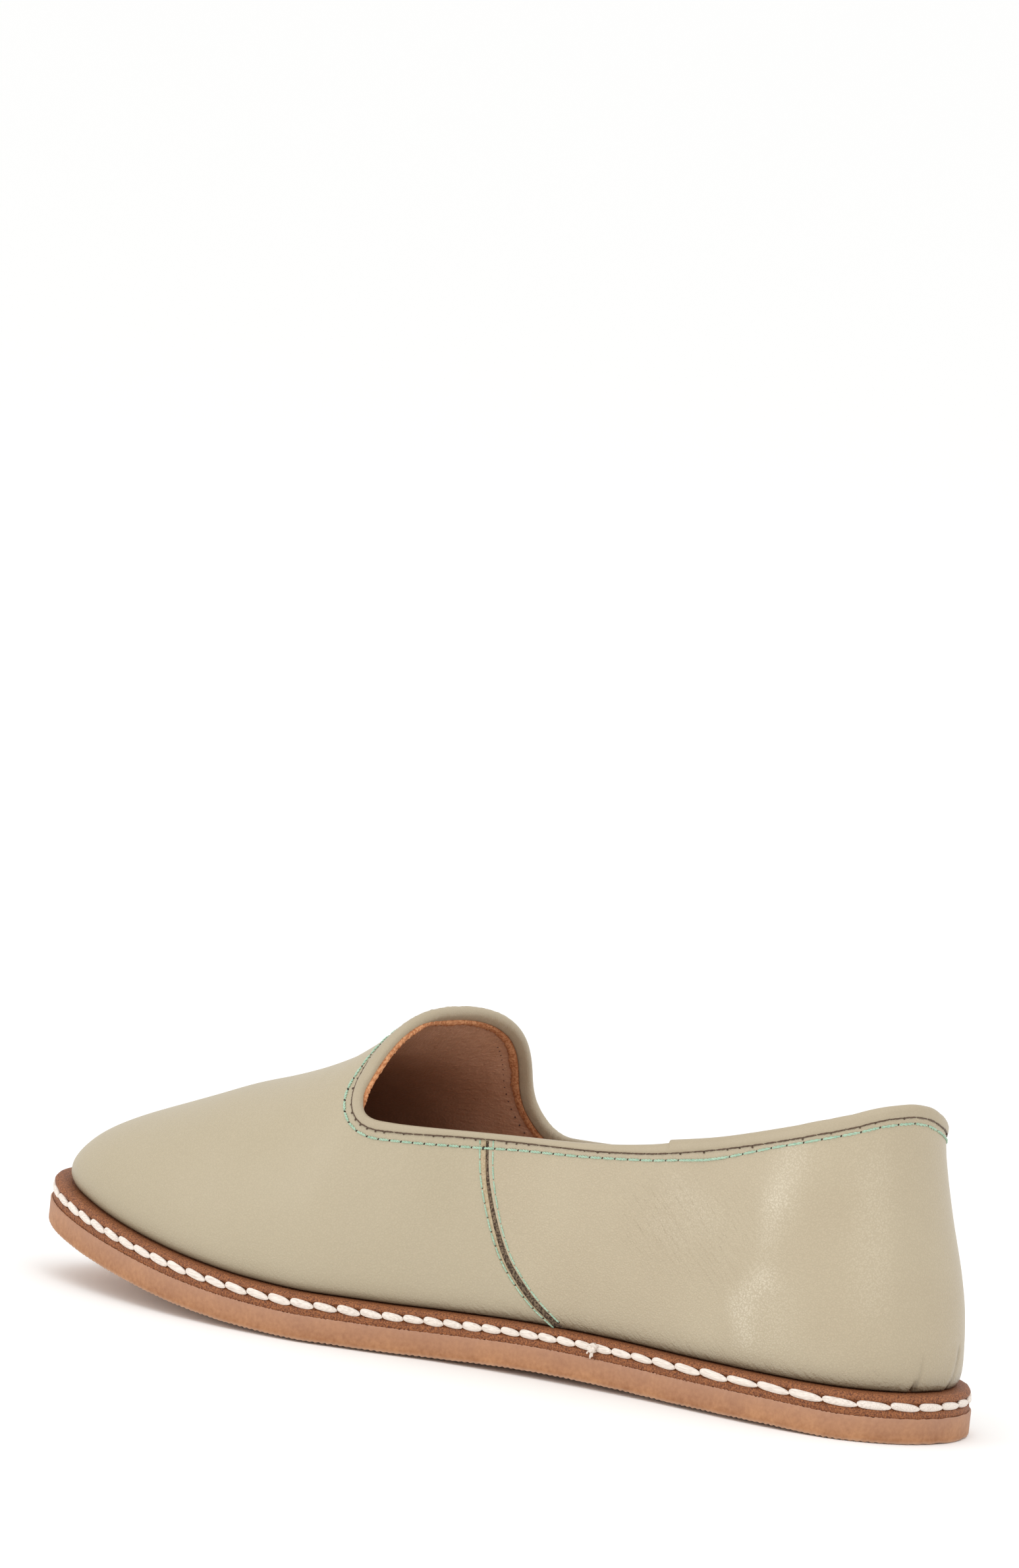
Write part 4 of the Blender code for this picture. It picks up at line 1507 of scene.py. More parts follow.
    def build_raw_edge(self) -> None:
        """Makes the ragged flesh edge that shows at the strip's inner side."""
        line = self.line
        climb, turn = self.turned_out()
        fray = sum(wave.at(line.arc) for wave in self.fray)
        rough = self.roughness.at(line.arc)
        from_crown = (line.throat_part - self.crown_share) / self.crown_width
        crown = np.where(line.arch, np.exp(-(from_crown**2)), 0.0)
        swell = 1 + np.maximum(self.climb_swell * climb, self.crown_swell * crown)
        rise = climb * (self.top() - self.shoulder + self.shoulder * np.sin(turn))
        shift = (1 - climb) * line.lining - climb * self.half * np.cos(turn)
        rings = []
        for up, frayed, out, roughened in self.raw_edge:
            along = (up + frayed * fray) * (1 - self.climb_squeeze * climb)
            off = (out + roughened * rough) * swell + self.climb_fray * climb * fray
            high = rise + along * np.cos(turn) + off * np.sin(turn)
            rings.append(line.place(line.arc, high, shift + along * np.sin(turn) - off * np.cos(turn)))
        rings.append(rings[0])
        sheet = Sheet()
        sheet.grid(np.stack(rings, axis=1), closed=True)
        edge = self.shop.join("binding_raw_edge", sheet, FLESH_LEATHER)
        self.shop.finish(edge, None, Slot.INSOLE)

    def build(self) -> None:
        """Makes strip and raw edge."""
        self.build_strip()
        self.build_raw_edge()


@dataclass(frozen=True)
class Thread:
    """A twisted sewing thread of two plies."""

    finish: Finish
    ply: float
    offset: float
    turns: float
    arch: float
    steps: int = 10
    sides: int = 6
    sunk: float = 0.35
    taper: float = 0.55

    def stitches(self, start: Array, end: Array, normal: Array) -> tuple[Array, Faces]:
        """Meshes of separate stitches, each dipping into the leather at its ends.

        Args:
            start: First point of each stitch on the surface.
            end: Last point of each stitch.
            normal: Outward direction at each stitch.

        Returns:
            Points and faces of all plies.
        """
        share = np.linspace(0.0, 1.0, self.steps)
        line = start[:, None] + (end - start)[:, None] * share[None, :, None]
        bulge = self.arch * np.sin(np.pi * share) ** 0.5 - self.sunk * self.ply
        line = line + normal[:, None] * bulge[None, :, None]
        along = unit(end - start)[:, None]
        across = np.cross(along, normal[:, None])
        upward = np.cross(across, along)
        tubes = []
        for ply in (0, 1):
            turn = 2 * np.pi * self.turns * share + np.pi * ply
            swing = np.cos(turn)[None, :, None] * upward + np.sin(turn)[None, :, None] * across
            centre = line + self.offset * swing
            round_about = np.linspace(0.0, 2 * np.pi, self.sides, endpoint=False)
            full = np.sin(np.pi * np.clip(share, 0.04, 0.96)) ** 0.4
            thick = self.ply * (self.taper + (1 - self.taper) * full)
            ring = np.cos(round_about)[:, None] * upward[:, :, None]
            ring = ring + np.sin(round_about)[:, None] * across[:, :, None]
            tubes.append(centre[:, :, None] + thick[None, :, None, None] * ring)
        points = np.stack(tubes, axis=1).reshape(-1, self.steps, self.sides, 3)
        return points.reshape(-1, 3), self.tube_faces(len(points))

    def tube_faces(self, count: int) -> Faces:
        """Faces of closed tubes that lie one after another.

        Args:
            count: Number of tubes.

        Returns:
            Side and end faces of every tube.
        """
        index = np.arange(count * self.steps * self.sides).reshape(count, self.steps, self.sides)
        after = np.roll(index, -1, axis=2)
        quads = np.stack([index[:, :-1], after[:, :-1], after[:, 1:], index[:, 1:]], axis=-1)
        return listed(quads, index[:, 0, ::-1], index[:, -1])


@dataclass
class Needlework:
    """Mint and brown sewing on binding and seams, with dark domes of painted shade for the needle holes
    between the stitches.
    """

    line: Topline
    binding: Binding
    upper: Upper
    shop: Shop
    seam_pitch: float = 3.6
    seam_fill: float = 0.9
    seam_end: float = 0.8
    hole_radius: float = 0.42
    mint: Thread = Thread(GREEN_THREAD, 0.21, 0.16, 1.7, 0.16)
    seam_mint: Thread = Thread(GREEN_THREAD, 0.15, 0.1, 2.0, 0.1)
    brown: Thread = Thread(BROWN_THREAD, 0.17, 0.07, 1.2, 0.1)
    chestnut: Thread = Thread(LINING_THREAD, 0.18, 0.08, 1.2, 0.1)
    surface: float = 0.95
    mint_gap: float = 0.5
    mint_elsewhere: float = 3.8
    doubled_station: float = 68.0
    doubled_reach: float = 6.0
    doubled_lead: float = 0.5
    seam_hole: float = 0.25
    hole_sides: int = 8
    hole_skew: float = 0.5
    hole_long: float = 1.25
    hole_short: float = 0.75
    hole_foot: float = 0.08
    hole_tip: float = 0.12
    brown_gap: float = 0.25
    brown_elsewhere: float = 3.3
    ditch: float = 0.1
    tick_share: float = 0.75
    tick_reach: Pair = (0.3, 0.75)
    tick_down: float = 0.75
    tick_up: float = 0.6
    tick_lean: float = 0.35
    lining_pitch: float = 2.0
    lining_gap: float = 1.6
    lining_rise: float = -3.0
    lining_sunk: float = 0.05
    lining_bare: float = 12.0
    # distance ahead of the seam at its top, and at the feather edge
    seam_rows: Rows = ((1.9, 1.0), (-1.6, -1.1))
    # medial station, pitch of the mint row, pitch of the brown row
    pitches: Rows = (
        (0.0, 4.6, 3.6), (30.0, 4.8, 3.6), (45.0, 4.2, 3.5), (60.0, 3.7, 3.4), (95.0, 3.4, 3.3),
        (112.0, 3.1, 2.9), (150.0, 2.9, 2.4),
    )

    def add(self, name: str, thread: Thread, parts: list[StitchRow]) -> None:
        """Makes one piece of many stitches.

        Args:
            name: Name of the piece.
            thread: Thread that is sewn.
            parts: Starts, ends and outward directions of the stitches.
        """
        start, end, normal = (np.concatenate([part[k] for part in parts]) for k in range(3))
        points, faces = thread.stitches(start, end, normal)
        piece = self.shop.piece(name, points, faces, (thread.finish,))
        self.shop.finish(piece, None, None)

    def joints(self, pitch: Array) -> Array:
        """Places along the topline where one stitch ends and the next begins.

        Args:
            pitch: Pitch wanted at each sample of the line.

        Returns:
            Places from zero to the line's whole length.
        """
        line = self.line
        count = np.concatenate([[0.0], np.cumsum(line.total / len(pitch) / pitch)])
        whole = int(round(count[-1]))
        return np.interp(np.arange(whole + 1), count * whole / count[-1], np.append(line.arc, line.total))

    def spot(self, arc: Array, rise: Array, shift: Array) -> Array:
        """Points beside the topline, with rise and shift given for each sample of the line."""
        line = self.line
        return line.place(arc, line.along(rise, arc), line.along(shift, arc))

    def loop_row(
        self, joints: Array, rise: Array, shift: Array, gap: float, side: float = 1.0
    ) -> StitchRow:
        """Stitches all round the topline.

        Args:
            joints: Places between the stitches.
            rise: Distance beyond the upper's edge at each sample.
            shift: Distance outwards from the middle of the wall at each sample.
            gap: Length left free at each joint.
            side: One for the outer face, minus one for the inner.

        Returns:
            Starts, ends and outward directions.
        """
        first = joints[:-1] + gap / 2
        last = joints[1:] - gap / 2
        outward = self.line.along(self.line.across, (first + last) / 2) * side
        return self.spot(first, rise, shift), self.spot(last, rise, shift), unit(outward)

    def holes(self, centres: Array, normals: Array, along: Array, size: Array) -> tuple[Array, Faces]:
        """Small dark slits of painted shade at the stitches' ends, set askew, standing for the shade in the
        holes.

        Args:
            centres: Places on the surface.
            normals: Outward directions there.
            along: Directions of the rows there.
            size: Radius of each slit.

        Returns:
            Points and faces of flat domes.
        """
        sides = self.hole_sides
        turn = np.linspace(0.0, 2 * np.pi, sides, endpoint=False)
        across = np.cross(normals, along)
        long = unit(across + self.hole_skew * along) * size[:, None] * self.hole_long
        short = unit(along - self.hole_skew * across) * size[:, None] * self.hole_short
        ring = np.cos(turn)[None, :, None] * long[:, None] + np.sin(turn)[None, :, None] * short[:, None]
        low = centres[:, None] + ring - self.hole_foot * normals[:, None]
        tip = centres[:, None] + self.hole_tip * normals[:, None]
        points = np.concatenate([low, tip], axis=1).reshape(-1, 3)
        base = np.arange(len(centres))[:, None] * (sides + 1)
        rim = base + np.arange(sides)
        fans = np.stack([np.roll(rim, -1, axis=1), rim, np.broadcast_to(base + sides, rim.shape)], axis=-1)
        return points, listed(fans, rim)

    def seam_row(self, side: Side, offset: tuple[float, ...]) -> StitchRow:
        """Stitches beside a side seam.

        Args:
            side: Side of the shoe.
            offset: Distance ahead of the seam at the top and at the feather edge.

        Returns:
            Starts, ends and outward directions.
        """
        upper = self.upper
        seam, _ = upper.seam_line(side)
        nudge = np.array([[-0.3], [0.0], [0.3]])
        strip = upper.wall(side, seam[None, :] + nudge, upper.edge_rise)
        up = unit(np.gradient(strip[1], axis=0))
        outward = unit(np.cross(unit(strip[2] - strip[0]), up)) * side.value
        beside = np.cross(up, outward) * side.value
        share = (strip[1][:, 2] - strip[1][0, 2]) / (strip[1][-1, 2] - strip[1][0, 2])
        line = strip[1] + beside * (offset[1] + (offset[0] - offset[1]) * share**0.6)[:, None]
        reach = distance_along(line)
        first = np.arange(self.seam_end, reach[-1] - 1.0, self.seam_pitch)
        last = np.minimum(first + self.seam_pitch * self.seam_fill, reach[-1] - self.seam_end)

        def at(values: Array, place: Array) -> Array:
            """Values along the row."""
            return np.stack([np.interp(place, reach, values[:, k]) for k in range(3)], axis=1)

        return at(line, first), at(line, last), unit(at(outward, (first + last) / 2))

    def build_mint(self) -> None:
        """Sews the mint row below the binding and the rows beside the seams, with dark domes of painted
        shade for their needle holes.
        """
        line = self.line
        rise = self.binding.mint()
        face = np.full(len(line.arc), self.surface)
        joints = self.joints(line.by_station(self.pitches, 1, self.mint_elsewhere))
        mint = self.loop_row(joints, rise, face, self.mint_gap)
        # the row's ends are sewn over each other near the binding's overlap
        near = np.abs(mint[0][:, 1] - self.doubled_station) < self.doubled_reach
        again = near & (mint[0][:, 0] < 0)
        lead = (mint[1] - mint[0]) * self.doubled_lead
        doubled = tuple(part[again] for part in (mint[0] + lead, mint[1] + lead, mint[2]))
        self.add("topline_thread_mint", self.mint, [mint, doubled])
        rows = [self.seam_row(side, offset) for side in Side for offset in self.seam_rows]
        self.add("seam_thread_mint", self.seam_mint, rows)
        # dark domes of painted shade where the needle holes are
        between = joints[:-1]
        centres = [self.spot(between, rise, face - 0.05)] + [row[0] for row in rows]
        normals = [line.along(line.across, between)] + [row[2] for row in rows]
        along = [line.along(line.run, between)] + [unit(row[1] - row[0]) for row in rows]
        size = [np.full(len(between), self.hole_radius)]
        size += [np.full(len(row[0]), self.seam_hole) for row in rows]
        points, faces = self.holes(*(np.concatenate(parts) for parts in (centres, normals, along, size)))
        self.shop.finish(self.shop.piece("needle_hole_shades", points, faces, (HOLE_SHADE,)), None, None)

    def build_brown(self) -> None:
        """Sews the brown row in the ditch under the binding, with its loose ticks, and the lining's row."""
        line = self.line
        binding = self.binding
        draw = np.random.default_rng(29)
        ditch = binding.foot() - self.ditch
        face = np.full(len(line.arc), self.surface + self.ditch)
        joints = self.joints(line.by_station(self.pitches, 2, self.brown_elsewhere))
        brown = self.loop_row(joints, ditch, face, self.brown_gap)
        knots = joints[:-1][draw.random(len(joints) - 1) < self.tick_share]
        foot = self.spot(knots, ditch, face)
        reach = draw.uniform(*self.tick_reach, len(knots))
        reach = reach * np.where(draw.random(len(knots)) < self.tick_down, -1.0, self.tick_up)
        lean = draw.uniform(-self.tick_lean, self.tick_lean, len(knots))
        tip = foot + line.along(line.away, knots) * reach[:, None]
        tip = tip + line.along(line.run, knots) * lean[:, None]
        self.add("binding_thread_brown", self.brown, [brown, (foot, tip, line.along(line.across, knots))])
        inner = self.joints(np.full(len(line.arc), self.lining_pitch))
        low = np.full(len(line.arc), self.lining_rise)
        row = self.loop_row(inner, low, line.lining - self.lining_sunk, self.lining_gap, -1.0)
        bare = line.lateral_corner + self.lining_bare
        self.add("lining_thread_chestnut", self.chestnut, [tuple(part[inner[:-1] < bare] for part in row)])

    def build(self) -> None:
        """Sews all rows."""
        self.build_mint()
        self.build_brown()


@dataclass
class Sole:
    """Ribbed rubber outsole, leather midsole with its thick thread, and the insole."""

    last: Last
    shop: Shop
    rubber_top: float = 6.25
    fringe: Wave = Wave(0.13, 1.5, 9)
    bulge: Wave = Wave(0.03, 21.0, 4)
    wear: Wave = Wave(0.3, 13.0, 3)
    wear_mean: float = 0.7
    rib_pitch: float = 1.5
    rib_depth: float = 0.32
    rubber_step: float = 0.375
    midsole_step: float = 0.7
    midsole_fray: tuple[Wave, Wave] = (Wave(0.14, 2.6, 6), Wave(0.05, 17.0, 7))
    midsole_wave: Wave = Wave(0.05, 3.4, 8)
    insole_step: float = 1.5
    end_zone: float = 7.0
    end_rows: int = 26
    smooth_angle: float = 42.0
    settle_top: float = 11.4
    settle_reach: float = 2.4
    thread_step: float = 0.5
    thread_height: float = 8.95
    thread_inset: float = 0.72
    thread_width: float = 2.1
    thread_width_spread: Pair = (0.9, 1.06)
    thread_bulge: float = 1.5
    thread_overlap: float = 1.04
    thread_slant: Pair = (4.5, 7.5)
    slant_spread: float = 2.0
    slant_start: float = 60.0
    slant_reach: float = 60.0
    stitch_fill: float = 0.85
    blunt_power: float = 5.0
    blunt_root: float = 0.5
    taper_power: float = 2.6
    taper_root: float = 0.55
    taper_slim: float = 0.12
    lateral_pitch: float = 7.0
    knot_station: float = 86.4
    knot_out: float = 0.5
    tuft_fibres: int = 7
    # the knot's strands: start ahead and up, end ahead and up
    knot: Rows = ((-1.5, 0.6, 1.5, -0.2), (-0.5, 1.1, 0.6, -1.2), (0.5, 1.0, -0.9, -1.0))
    # footbed's side: inset from the outline, height
    footbed: Rows = ((5.0, 12.15), (5.0, 13.6), (5.25, 14.1), (5.9, 14.4), (7.5, 14.5))
    # station, rise of the sole's layers towards the leather
    settled: Rows = (
        (0.0, 0.0), (18.0, 0.0), (30.0, 0.5), (42.0, 0.7), (100.0, 0.7), (130.0, 0.45), (190.0, 0.45),
        (215.0, 0.5), (240.0, 0.1), (256.0, 0.0),
    )
    # medial station, pitch of the sole thread
    pitches: Rows = (
        (0.0, 7.2), (12.0, 8.4), (40.0, 8.7), (60.0, 7.3), (75.0, 6.0), (86.0, 5.1), (128.0, 5.05),
        (150.0, 6.0), (185.0, 6.4), (225.0, 6.2), (256.0, 6.0),
    )

    def angles(self, step: float) -> Array:
        """Angles of the sole's rows, close together at heel and toe.

        Args:
            step: Distance between rows along the foot.

        Returns:
            Rising angles from heel to toe.
        """
        length = self.last.length
        ends = self.last.angle_of(np.array([self.end_zone]))[0]
        heel = np.linspace(0.0, ends, self.end_rows)[:-1]
        middle = self.last.angle_of(np.arange(self.end_zone, length - self.end_zone, step))
        toe = np.linspace(np.pi - ends, np.pi, self.end_rows)
        return np.concatenate([heel, middle, toe])

    def ring(self, angles: Array, inset: Array, height: Array) -> Array:
        """Closed ring of points: medial from heel to toe, then lateral back.

        Args:
            angles: Angles of the rows.
            inset: Distance inwards from the outline, one for each row or one for all.
            height: Height above the sole's underside, likewise.

        Returns:
            Points of the ring.
        """
        sides = []
        for side in Side:
            plan = self.last.outline(angles, side, np.broadcast_to(inset, angles.shape))
            share = np.clip((self.settle_top - height) / self.settle_reach, 0.0, 1.0)
            rise = curve(self.settled, 1, plan[:, 1]) * share
            level = self.last.lift(plan[:, 1]) + height + rise
            sides.append(np.concatenate([plan, level[:, None]], axis=1))
        return np.concatenate([sides[0], sides[1][-2:0:-1]])

    def slab(self, name: str, rings: list[Array], rows: int, finish: Finish) -> Piece:
        """Closes rings into a solid, with strips across its underside and its top.

        Args:
            name: Name of the piece.
            rings: Rings from the lowest to the highest.
            rows: Number of rows from heel to toe.
            finish: Finish of the piece.

        Returns:
            The new object.
        """
        size = len(rings[0])
        index = np.arange(len(rings) * size).reshape(-1, size)
        after = np.roll(index, -1, axis=1)
        faces = listed(np.stack([after[:-1], index[:-1], index[1:], after[1:]], axis=-1))
        for i in range(rows - 1):
            under = (i, i + 1, size - i - 1, (size - i) % size)
            kept = tuple(dict.fromkeys(under))
            faces.append(kept)
            faces.append(tuple(int(index[-1, v]) for v in reversed(kept)))
        heights = np.repeat(np.linspace(0.0, 1.0, len(rings)), size)
        made = self.shop.piece(name, np.concatenate(rings), faces, (finish,), heights)
        self.shop.activate(made)
        bpy.ops.object.shade_smooth_by_angle(angle=math.radians(self.smooth_angle))
        return made

    def build_outsole(self) -> None:
        """Makes the rubber, with fine ribs across its underside that notch its lower edge."""
        angles = self.angles(self.rubber_step)
        station = self.last.station_of(angles)
        wear = self.wear_mean + self.wear.at(station)
        rib = self.rib_depth * wear * (0.5 - 0.5 * np.cos(2 * np.pi * station / self.rib_pitch))
        fringe = self.fringe.at(station)
        flat = np.zeros(len(angles))
        top = self.rubber_top + flat
        # inset from the outline, height
        levels = (
            (0.55, rib),
            (0.16, rib * 0.9 + 0.22),
            (0.02, rib * 0.4 + 0.6),
            (0.0, flat + 1.6),
            (0.04 + self.bulge.at(station), flat + 3.0),
            (0.0, flat + 4.6),
            (0.03 * rib, top - 0.3 + 0.5 * fringe),
            (0.3, top + fringe),
            (0.9, top - 0.2),
        )
        rings = [self.ring(angles, inset, height) for inset, height in levels]
        outsole = self.slab("outsole_ribbed", rings, len(angles), RUBBER)
        self.shop.finish(outsole, "outsole", Slot.RUBBER)

    def build_midsole(self) -> None:
        """Makes the leather layer, with a channel for the thread and a ragged lower edge."""
        angles = self.angles(self.midsole_step)
        station = self.last.station_of(angles)
        fray = sum(wave.at(station) for wave in self.midsole_fray)
        wave = self.midsole_wave.at(station)
        flat = np.zeros(len(angles))
        low = self.rubber_top - 0.25
        mid = self.thread_height
        # inset from the outline, height
        levels = (
            (1.0, low + flat),
            (0.62 + wave, low + 0.2 + fray),
            (0.6 + wave, low + 0.9 + flat),
            (0.7 + wave, mid - 1.15 + flat),
            (1.25, mid - 0.7 + flat),
            (1.3, mid + 0.7 + flat),
            (0.7 + wave, mid + 1.15 + flat),
            (0.6 + wave, mid + 1.6 + flat),
            (0.75 + wave, 10.9 + flat),
            (1.15 + wave, 11.45 + flat),
            (1.8, 11.72 + flat),
            (2.8, 11.8 + flat),
        )
        rings = [self.ring(angles, inset, height) for inset, height in levels]
        midsole = self.slab("midsole_edge", rings, len(angles), MIDSOLE_LEATHER)
        self.shop.finish(midsole, "midsole", Slot.MIDSOLE)

    def build_insole(self) -> None:
        """Makes the footbed, out to the lining."""
        angles = self.angles(self.insole_step)
        flat = np.zeros(len(angles))
        drawn_in = self.last.feather_inset(angles) - self.last.ledge
        rings = [self.ring(angles, inset + drawn_in, height + flat) for inset, height in self.footbed]
        insole = self.slab("insole_footbed", rings, len(angles), LINING_LEATHER)
        self.shop.finish(insole, "insole", Slot.INSOLE)

    def model_stitch(self) -> tuple[Array, Faces]:
        """Models one plump stitch of unit length, width and thickness: a ball drawn out, blunt at one end.

        Returns:
            Points and faces.
        """
        bpy.ops.object.select_all(action="DESELECT")
        bpy.ops.mesh.primitive_uv_sphere_add(
            segments=12, ring_count=10, radius=0.5, rotation=(0.0, math.pi / 2, 0.0)
        )
        stitch = bpy.context.active_object
        bpy.ops.object.transform_apply(location=True, rotation=True, scale=True)
        points = np.array([tuple(v.co) for v in stitch.data.vertices])
        faces = [tuple(p.vertices) for p in stitch.data.polygons]
        bpy.data.objects.remove(stitch)
        along = np.clip(points[:, 0] * 2, -1.0, 1.0)
        ball = np.sqrt(np.clip(1 - along**2, 1e-9, None))
        along = np.sign(along) * np.abs(along) ** self.stitch_fill
        reach = np.abs(along)
        blunt = np.clip(1 - reach**self.blunt_power, 0.0, None) ** self.blunt_root
        tapered = np.clip(1 - reach**self.taper_power, 0.0, None) ** self.taper_root
        tapered = tapered * (1 - self.taper_slim * reach)
        size = np.where(along > 0, blunt, tapered) / ball
        size[ball < 1e-3] = 0.0
        points[:, 0] = along / 2
        points[:, 1:] *= size[:, None]
        return points, faces

    def thread_line(self) -> tuple[Array, Array]:
        """Closed line of the thread from the knot to the toe, round the lateral side and the heel.

        Returns:
            Points of the line, and the stitch pitch at each.
        """
        angles = self.angles(self.thread_step)
        ring = self.ring(angles, np.array(self.thread_inset), np.array(self.thread_height))
        medial = len(angles)
        pitch = np.full(len(ring), self.lateral_pitch)
        pitch[:medial] = curve(self.pitches, 1, ring[:medial, 1])
        start = int(np.argmin(np.abs(ring[:medial, 1] - self.knot_station)))
        return np.roll(ring, -start, axis=0), np.roll(pitch, -start)

    def build_thread(self) -> None:
        """Sews the thick thread, stitch by stitch, and ties its ends."""
        line, pitch = self.thread_line()
        closed = np.concatenate([line, line[:1]])
        reach = distance_along(closed)
        places = [0.0]
        while places[-1] < reach[-1]:
            places.append(places[-1] + float(np.interp(places[-1], reach[:-1], pitch)))
        places = np.array(places) * reach[-1] / places[-1]
        joints = np.stack([np.interp(places, reach, column) for column in closed.T], axis=1)
        template, faces = self.model_stitch()
        draw = np.random.default_rng(17)
        points = []
        for start, end in zip(joints, joints[1:]):
            along = end - start
            length = np.linalg.norm(along)
            along = along / length
            outward = unit(np.array([-along[1], along[0], 0.0]))
            upward = np.cross(outward, along)
            upward *= np.sign(upward[2])
            ahead = float(np.clip((start[1] - self.slant_start) / self.slant_reach, 0.0, 1.0))
            mean = self.thread_slant[0] + (self.thread_slant[1] - self.thread_slant[0]) * ahead
            slant = math.radians(mean + draw.uniform(-self.slant_spread, self.slant_spread))
            forward = along * math.cos(slant) + upward * math.sin(slant)
            across = upward * math.cos(slant) - along * math.sin(slant)
            width = self.thread_width * draw.uniform(*self.thread_width_spread)
            shape = template * np.array([length * self.thread_overlap, self.thread_bulge, width])
            basis = np.stack([forward, outward, across])
            points.append((start + end) / 2 + shape @ basis)
        bases = [i * len(template) for i in range(len(points))]
        faces = [tuple(base + v for v in face) for base in bases for face in faces]
        thread = self.shop.piece("sole_thread", np.concatenate(points), faces, (SOLE_THREAD,))
        self.shop.finish(thread, None, None)
        self.build_knot(joints[0], joints[1] - joints[0])

    def build_knot(self, place: Array, along: Array) -> None:
        """Makes the knot and the short tuft where the thread's ends meet.

        Args:
            place: Where the first stitch starts.
            along: Direction of that stitch.
        """
        draw = np.random.default_rng(5)
        forward = unit(along)
        outward = unit(np.array([-along[1], along[0], 0.0]))
        upward = np.cross(outward, forward)
        upward *= np.sign(upward[2])
        strand = Thread(SOLE_THREAD, 0.5, 0.4, 0.5, 0.9, sides=8)
        fibre = Thread(SOLE_THREAD, 0.13, 0.1, 1.0, 0.25)
        ends = np.array(self.knot)
        centre = place + outward * self.knot_out
        start = centre + ends[:, :1] * forward + ends[:, 1:2] * upward
        end = centre + ends[:, 2:3] * forward + ends[:, 3:] * upward
        points, faces = strand.stitches(start, end, np.tile(outward, (len(ends), 1)))
        count = self.tuft_fibres
        foot = place + outward * 0.9 + draw.uniform(-0.7, 0.9, (count, 1)) * forward - 0.6 * upward
        reach = draw.uniform(1.0, 2.1, (count, 1))
        spread = draw.uniform(-0.6, 0.7, (count, 1))
        tip = foot - reach * upward + spread * forward + 0.25 * outward
        tuft, more = fibre.stitches(foot, tip, np.tile(outward, (count, 1)))
        faces = faces + [tuple(len(points) + v for v in face) for face in more]
        knot = self.shop.piece("sole_thread_knot", np.concatenate([points, tuft]), faces, (SOLE_THREAD,))
        self.shop.finish(knot, None, None)

    def build(self) -> None:
        """Makes all layers of the sole."""
        self.build_outsole()
        self.build_midsole()
        self.build_insole()
        self.build_thread()


@dataclass(frozen=True)
class Softbox:
    """A square studio light that looks at the shoe."""

    name: str
    place: Triple
    size: float
    power: float

    def build(self, target: Vector) -> None:
        """Makes the light.

        Args:
            target: Point that the light faces.
        """
        data = bpy.data.lights.new(self.name, "AREA")
        data.size = self.size
        data.energy = self.power
        lamp = bpy.data.objects.new(self.name, data)
        lamp.location = self.place
        lamp.rotation_mode = "QUATERNION"
        lamp.rotation_quaternion = (target - Vector(self.place)).to_track_quat("-Z", "Y")
        bpy.context.scene.collection.objects.link(lamp)


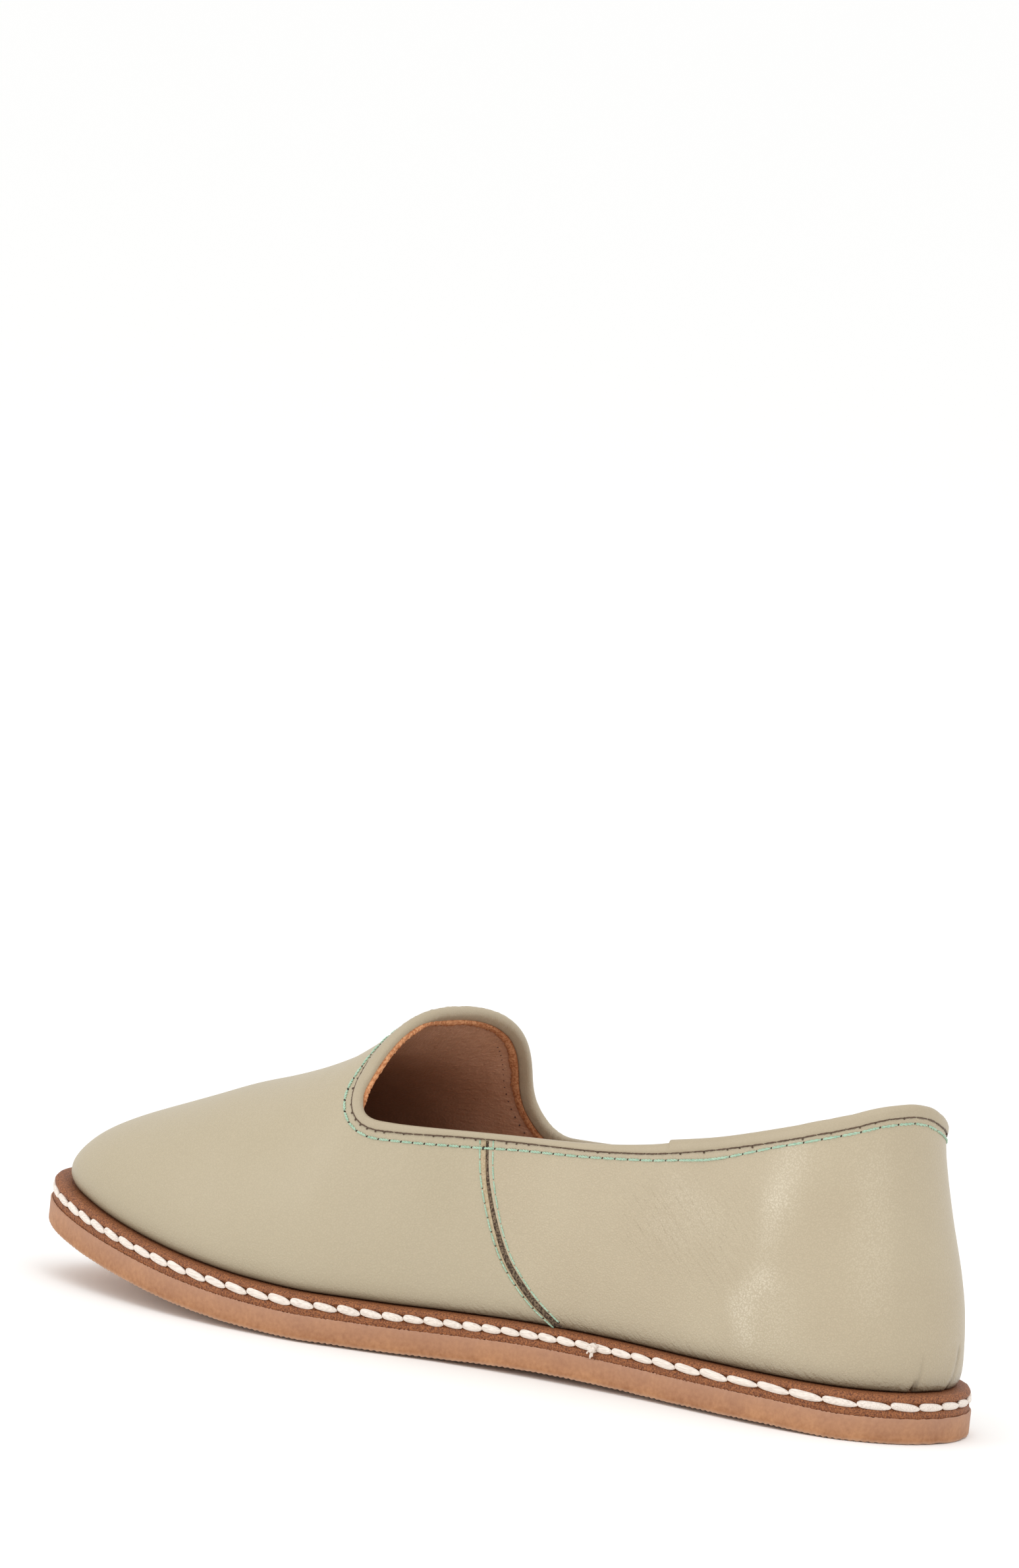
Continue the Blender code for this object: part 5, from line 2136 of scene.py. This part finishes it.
@dataclass
class Studio:
    """Pale floor, soft light and the photograph's camera."""

    floor_radius: float = 70.0
    floor_gap: float = 0.05
    sky: float = 1.03
    light_target: Triple = (0.0, 0.0, 0.03)
    image: tuple[int, int] = (1547, 2380)
    sensor: float = 36.0
    azimuth: float = -60.0
    elevation: float = 9.0
    roll: float = 6.2
    distance: float = 2200.0
    reach: float = 200.0
    pixels_per_mm: float = 6.4
    target: Triple = (-82.85, -47.76, 25.0)
    target_pixel: Pair = (764.5, 1990.0)
    lights: tuple[Softbox, ...] = (
        Softbox("softbox_top", (-0.4, 0.3, 1.9), 1.4, 5.0),
        Softbox("softbox_side", (-1.6, 0.9, 0.55), 0.7, 5.0),
        Softbox("softbox_rear", (-0.9, -1.0, 1.2), 0.8, 4.0),
    )

    def build_floor(self) -> None:
        """Makes the floor, a wide disc."""
        bpy.ops.object.select_all(action="DESELECT")
        bpy.ops.mesh.primitive_circle_add(vertices=96, radius=self.floor_radius, fill_type="NGON")
        floor = bpy.context.active_object
        floor.name = "studio_floor"
        floor.data.transform(Matrix.Translation((0.0, 0.0, -self.floor_gap * MM)))
        floor.data.materials.append(PAPER.material())

    def build_light(self) -> None:
        """Makes sky and softboxes."""
        world = bpy.data.worlds.new("studio_sky")
        world.use_nodes = True
        world.node_tree.nodes["Background"].inputs["Color"].default_value = (1.0, 1.0, 1.0, 1.0)
        world.node_tree.nodes["Background"].inputs["Strength"].default_value = self.sky
        bpy.context.scene.world = world
        for light in self.lights:
            light.build(Vector(self.light_target))

    def build_camera(self) -> None:
        """Makes the camera at the photograph's angle, rolled as the photograph is."""
        axes = Matrix.Rotation(math.radians(self.azimuth), 3, "Z")
        axes = axes @ Matrix.Rotation(math.radians(90.0 - self.elevation), 3, "X")
        axes = axes @ Matrix.Rotation(math.radians(self.roll), 3, "Z")
        focal = self.pixels_per_mm * self.distance
        aside = (self.image[0] / 2 - self.target_pixel[0]) / focal
        above = (self.target_pixel[1] - self.image[1] / 2) / focal
        forward = (axes @ Vector((aside, above, -1.0))).normalized()
        side = forward.cross(axes.col[1]).normalized()
        turn = Matrix((side, side.cross(forward), -forward)).transposed().to_4x4()
        eye = (Vector(self.target) + axes.col[2] * self.distance) * MM
        data = bpy.data.cameras.new("photo_camera")
        data.sensor_width = self.sensor
        data.lens = focal / self.image[1] * self.sensor
        data.clip_end = self.reach
        camera = bpy.data.objects.new("photo_camera", data)
        camera.matrix_world = Matrix.Translation(eye) @ turn
        bpy.context.scene.collection.objects.link(camera)
        bpy.context.scene.camera = camera

    def build(self) -> None:
        """Makes the studio."""
        self.build_floor()
        self.build_light()
        self.build_camera()
        bpy.context.scene.view_settings.view_transform = "Standard"


def main() -> None:
    """Builds the shoe's sub-assemblies in order, then the studio."""
    logging.basicConfig(level=logging.INFO, format="%(message)s")
    last = Last()
    shop = Shop(ShoeFrame(last))
    line = Topline(last)
    upper = Upper(last, shop)
    binding = Binding(line, shop)
    Sole(last, shop).build()
    upper.build()
    binding.build()
    Needlework(line, binding, upper, shop).build()
    Studio().build()


if __name__ == "__main__":
    main()
